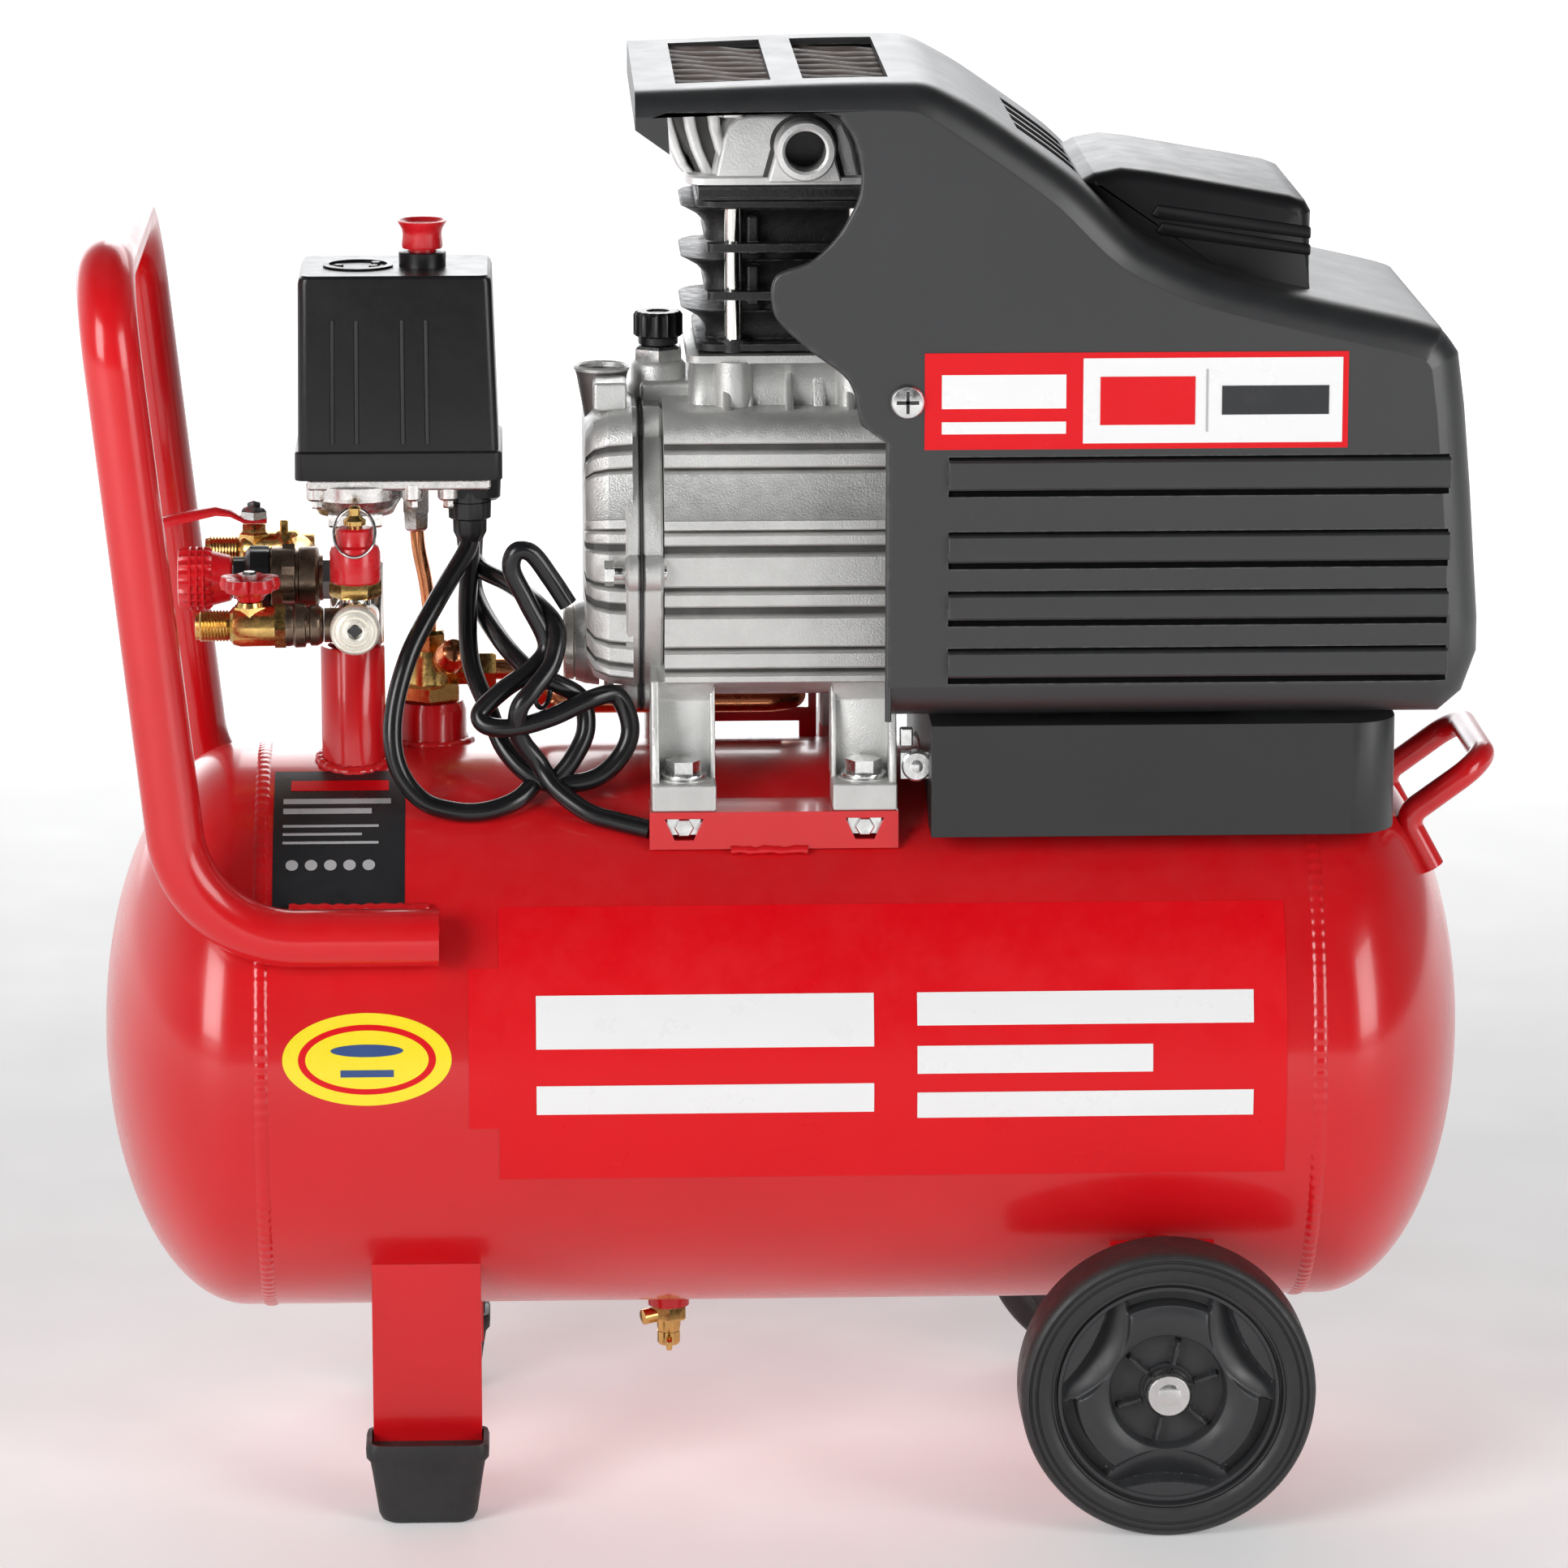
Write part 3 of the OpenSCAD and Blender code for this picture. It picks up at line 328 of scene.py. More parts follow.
NICKEL_CAST = material("bright_die_casting", (0.70, 0.68, 0.66), 0.26, 0.95, variation=0.20, patch=70,
                       grains=((700, 0.25, 0.0003),), edge_colour=(0.92, 0.92, 0.91))
# Painted shade: a darker copy of the casting for the breather spout, standing for the shade on its side
SPOUT_PAINTED_SHADE = material("spout_painted_shade", (0.15, 0.135, 0.13), 0.42, 0.6, variation=0.2, patch=50,
                 grains=((900, 0.3, 0.0003),))
LOWER = material("lower_plastic", (0.011, 0.0115, 0.0125), 0.42, variation=0.12, patch=9,
                 grains=((2200, 0.22, 0.0002),), rough_swing=0.03, specular=0.6)
SHADOW = material("groove_shadow", (0.004, 0.004, 0.004), 0.9, variation=0.2, patch=60, specular=0.05)
# Painted shade: dark sheets on the floors of screw slots and sockets
HOLE_SHADE = material("painted_hole_shade", (0.03, 0.03, 0.03), 0.5, variation=0.2, patch=60)
BLUE_PRINT = material("blue_print", (0.03, 0.07, 0.22), 0.32, variation=0.05, patch=12)
GREY_PRINT = material("grey_print", (0.42, 0.42, 0.43), 0.32, variation=0.05, patch=12)


# Mesh building --------------------------------------------------------------------------------

def piece(name, mesh, finish, body="chassis", slot=None, sharp=32, node=None):
    """Makes an object of a mesh, shades it, gives it its finish and lets it ride on a body.

    A slot names the record's finish but is not used, and a node is the CAD node that the piece stands for.
    """
    obj = bpy.data.objects.new(name, mesh)
    bpy.context.scene.collection.objects.link(obj)
    mesh.shade_smooth()
    mesh.set_sharp_from_angle(angle=math.radians(sharp))
    if finish is not None and not mesh.materials:
        mesh.materials.append(finish)
    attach(obj, body)
    if node:
        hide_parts(node)
    return obj


def mesh_of(name, points, faces):
    """A mesh whose faces all look outward."""
    mesh = bpy.data.meshes.new(name)
    mesh.from_pydata(points, [], faces)
    clean = bmesh.new()
    clean.from_mesh(mesh)
    bmesh.ops.recalc_face_normals(clean, faces=clean.faces)
    clean.to_mesh(mesh)
    clean.free()
    return mesh


def soften(obj, width, segments=2, angle=32):
    """Rounds the sharp edges of a piece by a width in millimetres."""
    bevel = obj.modifiers.new("soften", "BEVEL")
    bevel.width = width * MM
    bevel.segments = segments
    bevel.limit_method = "ANGLE"
    bevel.angle_limit = math.radians(angle)
    bevel.harden_normals = True
    bevel.use_clamp_overlap = True
    return obj


def grid(name, rows, finish, closed_rows=False, closed_cols=False, caps=False, **kw):
    """A mesh from equal rows of points; caps close the first and last row with a face."""
    count = len(rows[0])
    points = [p for row in rows for p in row]
    faces = []
    for i in range(len(rows) if closed_rows else len(rows) - 1):
        a, b = i * count, ((i + 1) % len(rows)) * count
        for j in range(count if closed_cols else count - 1):
            k = (j + 1) % count
            faces.append((a + j, a + k, b + k, b + j))
    if caps:
        faces.append(tuple(range(count)))
        faces.append(tuple(range(len(points) - count, len(points))))
    return piece(name, mesh_of(name, points, faces), finish, **kw)


def frame_of(axis):
    """Two directions square to an axis."""
    side = Vector((0, 0, 1)) if abs(axis.z) < 0.9 else Vector((1, 0, 0))
    u = axis.cross(side).normalized()
    return u, axis.cross(u).normalized()


def lathe(name, centre, axis, profile, finish, steps=64, closed=False, turn=0.0, ripple=None, **kw):
    """Turns a profile of (radius, height) about an axis; a height runs along the axis from centre."""
    direction = AXES[axis] if isinstance(axis, str) else Vector(axis).normalized()
    u, v = frame_of(direction)
    hub = at(*centre)
    points, rings, faces = [], [], []
    for r, h in profile:
        if r < 1e-6:
            rings.append([len(points)])
            points.append(hub + direction * h * MM)
            continue
        ring = []
        for k in range(steps):
            t = turn + TAU * k / steps
            radius = r * ripple(t) if ripple else r
            ring.append(len(points))
            points.append(hub + direction * h * MM + (u * math.cos(t) + v * math.sin(t)) * radius * MM)
        rings.append(ring)
    pairs = list(zip(rings, rings[1:])) + ([(rings[-1], rings[0])] if closed else [])
    for first, second in pairs:
        for k in range(steps):
            m = (k + 1) % steps
            if len(first) == 1 and len(second) == 1:
                continue
            if len(first) == 1:
                faces.append((first[0], second[m], second[k]))
            elif len(second) == 1:
                faces.append((first[k], first[m], second[0]))
            else:
                faces.append((first[k], first[m], second[m], second[k]))
    if not closed:
        for ring in (rings[0], rings[-1]):
            if len(ring) > 1:
                faces.append(tuple(ring))
    return piece(name, mesh_of(name, points, faces), finish, **kw)


def solid(*profile):
    """Closes a profile onto its axis at both ends."""
    return [(0, profile[0][1]), *profile, (0, profile[-1][1])]


def round_path(points, bends, step=7):
    """Straight stretches through points, with an arc of the given radius at each inner point."""
    points = [Vector(p) for p in points]
    path = [points[0]]
    for i, bend in enumerate(bends, 1):
        before = (points[i] - points[i - 1]).normalized()
        after = (points[i + 1] - points[i]).normalized()
        angle = before.angle(after)
        normal = before.cross(after).normalized()
        inward = normal.cross(before)
        start = points[i] - before * bend * math.tan(angle / 2)
        centre = start + inward * bend
        count = max(2, round(math.degrees(angle) / step))
        for k in range(count + 1):
            t = angle * k / count
            path.append(centre - inward * bend * math.cos(t) + before * bend * math.sin(t))
    path.append(points[-1])
    return path


def flow(points, between=8):
    """A smooth curve through points."""
    p = [Vector(q) for q in points]
    p = [p[0] * 2 - p[1]] + p + [p[-1] * 2 - p[-2]]
    path = []
    for i in range(1, len(p) - 2):
        for k in range(between):
            t = k / between
            path.append(0.5 * (2 * p[i] + (p[i + 1] - p[i - 1]) * t
                               + (2 * p[i - 1] - 5 * p[i] + 4 * p[i + 1] - p[i + 2]) * t * t
                               + (3 * p[i] - p[i - 1] - 3 * p[i + 1] + p[i + 2]) * t ** 3))
    path.append(p[-2])
    return path


def sweep(name, path, radius, finish, sides=20, closed=False, bore=None, **kw):
    """A round bar along a path in millimetres. radius may be a function of the share of the path."""
    count = len(path)
    tangents = []
    for i in range(count):
        ahead = path[(i + 1) % count] if closed or i < count - 1 else path[i]
        behind = path[i - 1] if closed or i > 0 else path[i]
        tangents.append((ahead - behind).normalized())
    side = frame_of(tangents[0])[0]
    rows, inner = [], []
    for i in range(count):
        side = (side - tangents[i] * side.dot(tangents[i])).normalized()
        other = tangents[i].cross(side)
        r = radius(i / (count - 1)) if callable(radius) else radius
        ring = [side * math.cos(TAU * k / sides) + other * math.sin(TAU * k / sides) for k in range(sides)]
        rows.append([at(*(path[i] + d * r)) for d in ring])
        inner.append([at(*(path[i] + d * (bore or 0))) for d in ring])
    if bore:
        rows = rows + inner[::-1]
        return grid(name, rows, finish, closed_rows=True, closed_cols=True, **kw)
    return grid(name, rows, finish, closed_rows=closed, closed_cols=True, caps=not closed, **kw)


def ribbed(depth, count, blunt=1.0):
    """A ripple for lathe() with a number of ribs round it; a low blunt makes their tops narrow."""
    return lambda t: 1 - depth * (0.5 - 0.5 * math.cos(count * t)) ** blunt


def rounded(hx, hy, r, steps=6, cx=0.0, cy=0.0):
    """The outline of a rectangle with round corners."""
    outline = []
    for quarter, (sx, sy) in enumerate(((1, 1), (-1, 1), (-1, -1), (1, -1))):
        for k in range(steps + 1):
            t = (quarter + k / steps) * math.pi / 2
            outline.append((cx + sx * (hx - r) + r * math.cos(t), cy + sy * (hy - r) + r * math.sin(t)))
    return outline


def loft(name, sections, finish, plane="xy", **kw):
    """Joins equal outlines, each given with its height along the axis square to the plane."""
    place = {"xy": lambda p, h: at(p[0], p[1], h), "xz": lambda p, h: at(p[0], h, p[1]),
             "yz": lambda p, h: at(h, p[0], p[1])}[plane]
    rows = [[place(p, h) for p in outline] for outline, h in sections]
    return grid(name, rows, finish, closed_cols=True, caps=True, **kw)


def stack(corner, steps, x, rows):
    """Sections of a loft from rows of half width, half depth and height, about one upright line."""
    return [(rounded(half_x, half_y, corner, steps, x, 0), z) for half_x, half_y, z in rows]


def slab(name, outline, low, high, finish, plane="xz", edge=0.6, **kw):
    """A flat outline given thickness, with its edges softened."""
    obj = loft(name, [(outline, low), (outline, high)], finish, plane, **kw)
    return soften(obj, edge) if edge else obj


def box(name, low, high, finish, edge=0.8, **kw):
    """A block between two corners with softened edges."""
    outline = [(low[0], low[1]), (high[0], low[1]), (high[0], high[1]), (low[0], high[1])]
    return slab(name, outline, low[2], high[2], finish, "xy", edge, **kw)


def arc(cx, cy, r, start, end, steps=10):
    """Points of an arc, with its angles in degrees."""
    return [(cx + r * math.cos(math.radians(start + (end - start) * k / steps)),
             cy + r * math.sin(math.radians(start + (end - start) * k / steps))) for k in range(steps + 1)]


def settle(obj):
    """Turns a piece's modifiers into its mesh."""
    bpy.context.view_layer.update()
    graph = bpy.context.evaluated_depsgraph_get()
    final = bpy.data.meshes.new_from_object(obj.evaluated_get(graph))
    obj.modifiers.clear()
    obj.data = final
    return obj


def cut(obj, *tools, solver="EXACT"):
    """Takes the shapes of tools out of a piece, then removes them."""
    for tool in tools:
        settle(tool)
        hole = obj.modifiers.new("cut", "BOOLEAN")
        hole.object = tool
        hole.operation = "DIFFERENCE"
        hole.solver = solver
    settle(obj)
    for tool in tools:
        bpy.data.objects.remove(tool)
    obj.data.set_sharp_from_angle(angle=math.radians(32))
    return obj


def fuse(name, parts, slot, node=None):
    """Joins finished pieces on one body into one object."""
    merged = bmesh.new()
    materials = []
    for part in parts:
        settle(part)
        index = {}
        for i, m in enumerate(part.data.materials):
            if m not in materials:
                materials.append(m)
            index[i] = materials.index(m)
        first = len(merged.faces)
        merged.from_mesh(part.data)
        merged.faces.ensure_lookup_table()
        for f in merged.faces[first:]:
            f.material_index = index.get(f.material_index, 0)
    mesh = bpy.data.meshes.new(name)
    merged.to_mesh(mesh)
    merged.free()
    for m in materials:
        mesh.materials.append(m)
    body = body_of(parts[0])[0]
    for part in parts:
        bpy.data.objects.remove(part)
    return piece(name, mesh, None, body=body, slot=slot, node=node)


def level(obj):
    """Keeps wide flat faces looking flat beside their rounded edges."""
    weighted = obj.modifiers.new("level", "WEIGHTED_NORMAL")
    weighted.weight = 80
    weighted.keep_sharp = True
    return obj


def carry_over(node, finish, edge=0.5):
    """Keeps a CAD node as it is, with its edges softened and a finish of its own."""
    obj = frame["nodes"][node]
    obj.data.materials.clear()
    obj.data.materials.append(finish)
    weld = obj.modifiers.new("weld", "WELD")
    weld.merge_threshold = 0.00001
    flat = obj.modifiers.new("flat", "DECIMATE")
    flat.decimate_type = "DISSOLVE"
    flat.angle_limit = math.radians(1)
    if edge:
        soften(obj, edge, 2, 40)
    return obj


# Tank -----------------------------------------------------------------------------------------

shell = Span("tank_shell")
right_head = Span("tank_head_right")
TANK_Z = shell.mid.z
TANK_R = shell.size.z / 2
SEAM_X = shell.high.x
TANK_END = right_head.high.x
WALL = 2.5
# Straight skirt of a dished head beyond its seam
FLANGE = 9.5
# How far a rebuilt handle stays inside its CAD box
MARGIN = 0.15


def tank_surface(x, y, proud=0.0):
    """The height of the tank's upper side at a place."""
    return TANK_Z + math.sqrt((TANK_R + proud) ** 2 - y * y)


def head_profile(radius, depth):
    """The curve of a dished head, from its rim to its middle."""
    return [(radius * math.cos(math.radians(t)), SEAM_X + FLANGE + depth * math.sin(math.radians(t)))
            for t in range(0, 91, 3)]


def tank():
    """The rolled barrel, its two dished heads and their girth welds."""
    depth = TANK_END - SEAM_X - FLANGE
    barrel = [(TANK_R, -SEAM_X), (TANK_R, SEAM_X), (TANK_R - WALL, SEAM_X), (TANK_R - WALL, -SEAM_X)]
    lathe("tank_barrel", (0, 0, TANK_Z), "x", barrel, PAINT, 192, closed=True, slot="red_paint",
          node="tank_shell")
    dish = ([(TANK_R, SEAM_X + 0.05)] + head_profile(TANK_R, depth)
            + head_profile(TANK_R - WALL, depth - WALL)[::-1] + [(TANK_R - WALL, SEAM_X + 0.05)])
    for side, axis, node in (("left", "-x", "tank_head_left"), ("right", "x", "tank_head_right")):
        lathe("tank_dish_" + side, (0, 0, TANK_Z), axis, dish, PAINT, 192, closed=True, slot="red_paint",
              node=node)
        bead(side, axis)


def bead(side, axis):
    """A girth weld with the ripple of its passes."""
    profile = [(TANK_R - 0.4, SEAM_X - 3.4), (TANK_R + 0.35, SEAM_X - 2.4), (TANK_R + 0.75, SEAM_X - 1.0),
               (TANK_R + 0.75, SEAM_X + 1.0), (TANK_R + 0.35, SEAM_X + 2.4), (TANK_R - 0.4, SEAM_X + 3.4)]
    ripple = lambda t: 1 + 0.0012 * math.sin(t * 150) + 0.001 * noise.noise(Vector((t * 9, 0, 0)))
    lathe("girth_weld_" + side, (0, 0, TANK_Z), axis, profile, PAINT, 720, closed=True, ripple=ripple,
          slot="red_paint", sharp=60)


def fillet_weld(name, path, size=2.2):
    """A lumpy weld bead along a path."""
    return sweep(name, path, lambda s: size * (1 + 0.16 * math.sin(s * len(path) * 1.9)
                                               + 0.2 * noise.noise(Vector((s * 17, size, 0)))), PAINT, 10,
                 slot="red_paint", sharp=70)


def ring_on_tank(x, y, radius, steps=64):
    """A path round a post that stands on the tank."""
    return [Vector((x + radius * math.cos(TAU * k / steps), y + radius * math.sin(TAU * k / steps),
                    tank_surface(x, y + radius * math.sin(TAU * k / steps)))) for k in range(steps + 1)]


PORT = (Span("manifold").high.x - 14, -18)
RISER_TOP = 361
CHECK = (-150, 16)
DRAIN = (Span("drain_cock").mid.x, 0)


def ports():
    """The riser pipe, the check valve's boss and the drain boss, with their welds."""
    foot = TANK_Z + TANK_R - 6
    lathe("riser_pipe", (*PORT, 0), "z", [(13.5, foot), (13.5, 360), (13, RISER_TOP), (10.6, RISER_TOP),
                                          (10, 360), (10, foot)], PAINT, 64, closed=True, slot="red_paint",
          node="tank_ports")
    fillet_weld("riser_weld", ring_on_tank(*PORT, 14.2), 2.4)
    lathe("check_valve_boss", (*CHECK, 0), "z", [(17.5, foot), (17, foot + 5), (15.5, foot + 9),
                                                 (15.5, 326), (14, 330), (7, 330), (6, 329), (6, foot)],
          PAINT, 48, closed=True, slot="red_paint")
    fillet_weld("check_boss_weld", ring_on_tank(*CHECK, 17.2), 1.8)
    low = TANK_Z - TANK_R
    lathe("drain_boss", (*DRAIN, 0), "z", [(9, 64), (9, low + 2), (4, low + 2), (4, 64)], PAINT, 40,
          closed=True, slot="red_paint")


def carry_handle():
    """The bent tube that runs round the switch end, and its four weld beads."""
    span = Span("carry_handle")
    r = 12
    edge = r + MARGIN
    y = span.high.y - edge
    low_z = span.low.z + edge
    top = (span.low.x + edge, span.high.z - edge)
    corner = (-249, low_z)
    points = [(span.high.x, -y, low_z), (corner[0], -y, corner[1]), (top[0], -y, top[1]),
              (top[0], y, top[1]), (corner[0], y, corner[1]), (span.high.x, y, low_z)]
    sweep("carry_tube", round_path(points, [50, 36, 36, 50], 4), r, PAINT, 40, bore=10, slot="red_paint",
          node="carry_handle")
    for side, sy in (("front", -1), ("rear", 1)):
        for place, dz in (("upper", 8.5), ("lower", -6.5)):
            z = low_z + dz
            reach = math.sqrt((TANK_R + 1.5) ** 2 - (z - TANK_Z) ** 2)
            path = [Vector((x, sy * reach, z)) for x in range(-208, -149, 2)]
            fillet_weld("carry_weld_%s_%s" % (side, place), path, 2.6)


def tow_handle():
    """The bent bar at the wheels' end."""
    span = Span("tow_handle")
    r = 5.5
    edge = r + MARGIN
    y = span.high.y - edge
    right = span.high.x - edge
    top = span.high.z - edge
    points = [(275, -y, 266), (263, -y, 288), (right, -y, top),
              (right, y, top), (263, y, 288), (275, y, 266)]
    sweep("tow_bar", round_path(points, [8, 14, 14, 8], 6), r, PAINT, 28, slot="red_paint", node="tow_handle")
    for side, sy in (("front", -1), ("rear", 1)):
        path = [Vector((262 + k, sy * (y - 5.5), 285.5 - k * 1.65)) for k in range(0, 13)]
        fillet_weld("tow_weld_" + side, path, 2.4)


# Undercarriage --------------------------------------------------------------------------------

def rubber_feet():
    """Hollow rubber boots under the front legs."""
    span = Span("rubber_feet")
    cx = span.mid.x
    for side, sy in (("front", -1), ("rear", 1)):
        cy = sy * (span.high.y - 14)
        heights = [(17.5, 10.5, 6, 0), (19.5, 12.5, 7, 1.2), (20.8, 13.2, 7, 4), (23.4, 13.8, 6, 22),
                   (24.2, 14.0, 5, 27), (25.8, 14.6, 5, 29), (26, 14.8, 5, 33), (25.4, 14.2, 5, 35),
                   (23.6, 12.6, 4, 35), (23.2, 12.2, 4, 31)]
        sections = [(rounded(hx, hy, r, 6, cx, cy), z) for hx, hy, r, z in heights]
        loft("rubber_foot_" + side, sections, RUBBER, slot="rubber", sharp=50, node="rubber_feet")


def smooth_step(low, high, value):
    t = min(1, max(0, (value - low) / (high - low)))
    return t * t * (3 - 2 * t)


def hub_height(r, angle):
    """How far the wheel's face stands out from its inner plane, with its rings, scoops and well."""
    if r < 23.4:
        floor = 19.5
        rib = min(abs((angle - math.radians(60 * k + 78) + math.pi) % TAU - math.pi) for k in range(6)) * r
        raised = 4.5 * (1 - smooth_step(0.7, 1.3, rib)) * smooth_step(22.6, 21.5, r)
        return floor + raised if r > 11.5 else floor + 2.5
    dish = 25 + 3.2 * math.sin(min(1, max(0, (r - 23.4) / 14)) * math.pi * 0.75)
    dish = 19.5 + (dish - 19.5) * smooth_step(23.4, 24.6, r)
    dish += (20.5 - dish) * smooth_step(38.2, 39.6, r)
    x, z = r * math.cos(angle), r * math.sin(angle)
    for centre in (150, 30, 270):
        c, s = math.cos(math.radians(centre)), math.sin(math.radians(centre))
        land = math.hypot(x - 112 * c, z - 112 * s) - 74
        scoop = math.hypot(x - 61 * c, z - 61 * s) - 36
        inside = 1 - smooth_step(-0.5, 0.9, scoop)
        depth = 19.0 + 6.5 * smooth_step(-14, 0, scoop)
        dish += (depth - dish) * inside
        dish += (27.8 - dish) * (1 - smooth_step(-0.6, 0.8, land))
    ring = smooth_step(44.2, 44.9, r) * (1 - smooth_step(46.4, 47.0, r)) * 28.6
    rim = smooth_step(47.4, 48.0, r) * 29.6
    valley = 26.6 * smooth_step(43.6, 44.4, r)
    return max(dish if r < 44.6 else 0, ring, rim, valley)


def wheel(side, sy):
    """One wheel: a profiled tyre round a dished plastic centre with raised spokes."""
    span = Span("tyre_" + side)
    centre = (span.mid.x, 0, span.mid.z)
    inner = min(abs(span.low.y), abs(span.high.y))
    outer = max(abs(span.low.y), abs(span.high.y))
    r = span.size.z / 2
    axis = "y" if sy > 0 else "-y"
    body = side + "_wheel"
    tread = [(49.2, inner + 2), (52, inner + 0.6), (56, inner), (59.4, inner + 0.7), (61.4, inner + 3),
             (r, inner + 6), (r, outer - 6), (61.5, outer - 2.8), (60.2, outer - 1.0), (58.8, outer - 0.4),
             (58.4, outer - 1.0), (57.9, outer - 1.0), (57.5, outer - 0.2), (56.0, outer),
             (55.6, outer - 0.7), (55.1, outer - 0.7), (54.7, outer), (52.2, outer - 0.2),
             (50.4, outer - 0.6), (49.2, outer - 1.6)]
    lathe("tyre_ring_" + side, centre, axis, tread, TYRE, 160, closed=True, body=body, slot="tyre",
          sharp=40, node="tyre_" + side)
    radii = [6.3] + [6.3 + 0.45 * k for k in range(1, 95)] + [49.0]
    steps = 300
    u, v = Vector((1, 0, 0)), Vector((0, 0, 1))
    rows = []
    for radius in radii:
        rows.append([at(centre[0] + radius * math.cos(TAU * k / steps),
                        sy * (inner + hub_height(radius, TAU * k / steps)),
                        centre[2] + radius * math.sin(TAU * k / steps)) for k in range(steps)])
    for radius, depth in ((49.0, 2), (44, 2), (43.4, 14), (14, 14), (13.4, 2), (6.3, 2)):
        rows.append([at(centre[0] + radius * math.cos(TAU * k / steps), sy * (inner + depth),
                        centre[2] + radius * math.sin(TAU * k / steps)) for k in range(steps)])
    grid("wheel_centre_" + side, rows, SATIN_BLACK, closed_rows=True, closed_cols=True, body=body,
         slot="black_plastic", sharp=45, node="wheel_hub_" + side)


def bolt_heads():
    """Domed zinc heads of the wheel bolts, over the CAD bolts."""
    span = Span("axle_hardware")
    for side, axis in (("front", "-y"), ("rear", "y")):
        dome = [(0, span.high.y + 0.6), (3, span.high.y + 0.5), (6.2, span.high.y - 0.3),
                (8.6, span.high.y - 1.8), (9.8, span.high.y - 3.6), (10.1, span.high.y - 5.2),
                (10.1, span.high.y - 6.8), (0, span.high.y - 6.8)]
        lathe("wheel_bolt_head_" + side, (span.mid.x, 0, span.mid.z), axis, dome, ZINC, 48, slot="zinc_steel")


def undercarriage():
    """Feet, wheels and their bolts, and the folded legs."""
    rubber_feet()
    wheel("front", -1)
    wheel("rear", 1)
    bolt_heads()
    carry_over("axle_hardware", ZINC, 0.4)
    carry_over("support_brackets", PAINT, 0.9)


tank()
ports()
carry_handle()
tow_handle()
undercarriage()

# Pump ------------------------------------------------------------------------------------------

# Middles of the oil sight glass and of the screws that hold the shroud
SIGHT = (0, -20, 362)
SHROUD_SCREW = (48, 0, 477)
FOOT_X = (-43.5, 32)
BOLT_Y = 66
STUDS = [(CYL_X + sx * 25.5, sy * 39) for sx in (-1, 1) for sy in (-1, 1)]
BANDS = [(463, 454), (450.4, 444), (442, 417.5), (416, 411), (407, 393.5), (391, 385), (381, 368),
         (366, 359), (356.5, 352.7)]


def banded_side(reach, low_z):
    """Half of the casing's section, from top to bottom, with its raised bands and narrow grooves."""
    side = [(reach - 20, 466.5), (reach - 9, 465.6), (reach - 3.5, 462), (reach - 0.5, 458), (reach, 455)]
    for i, (high, low) in enumerate(BANDS):
        if i:
            side += [(reach - 4.5, high + 0.4), (reach - 0.6, high), (reach, high - 0.8)]
        if (high, low) == (442, 417.5):
            side += [(reach, 422.4), (reach + 1.3, 421.8), (reach + 1.3, 418.3)]
        side += [(reach, low + 0.8), (reach - 0.6, low), (reach - 4.5, low - 0.4)]
    return side + [(reach - 7, 351), (reach - 18, 346), (reach - 36, low_z + 1), (reach - 58, low_z)]


def banded_section(reach, low_z, shrink=1.0):
    """The casing's cross-section, with its bands on both sides."""
    half = banded_side(reach, low_z)
    front = [(-y, z) for y, z in half]
    outline = front + [(y, z) for y, z in reversed(half)]
    return [(y * shrink, SHAFT_Z + 6 + (z - SHAFT_Z - 6) * shrink) for y, z in outline]


def shade_groove_floors(obj, section):
    """Gives the floors of the grooves between the bands a dark finish that paints the shade in them."""
    obj.data.materials.append(RECESS_SHADE)
    deep = set()
    faces = [abs(y) for y, z in section if 352 < z < 457]
    for j, (y, z) in enumerate(section):
        if 352 < z < 457 and abs(y) < max(faces) - 3.5:
            deep.add(j)
    count = len(section)
    for polygon in obj.data.polygons:
        if len(polygon.vertices) == 4 and all(v % count in deep for v in polygon.vertices):
            polygon.material_index = 1


def lugged_ring(name, x0, x1, radius):
    """A round flange with six screw lugs, as separate closed bodies."""
    rim = solid((radius - 1, x0), (radius, x0 + 1), (radius, x1 - 1), (radius - 1, x1))
    parts = [lathe(name, (0, 0, SHAFT_Z), "x", rim, CAST, 128)]
    for k in range(6):
        y, z = 66 * math.cos(math.radians(60 * k)), SHAFT_Z + 66 * math.sin(math.radians(60 * k))
        lug = solid((6.2, x0 - 0.4), (7.6, x0 + 1.2), (7.6, x1 - 1.2), (6.2, x1 + 0.4))
        parts.append(lathe(name + "_lug", (0, y, z), "x", lug, CAST, 28))
    return parts


def gusset(x, y0, z0, y1, z1, thick=1.6):
    """A thin rib that leans from the deck down to the shoulder."""
    outline = [(y0, z0), (y0, z1), (y1, z1), (y1, z1 + 3)]
    return slab("deck_rib", outline, x - thick, x + thick, CAST, "yz", 0.9)


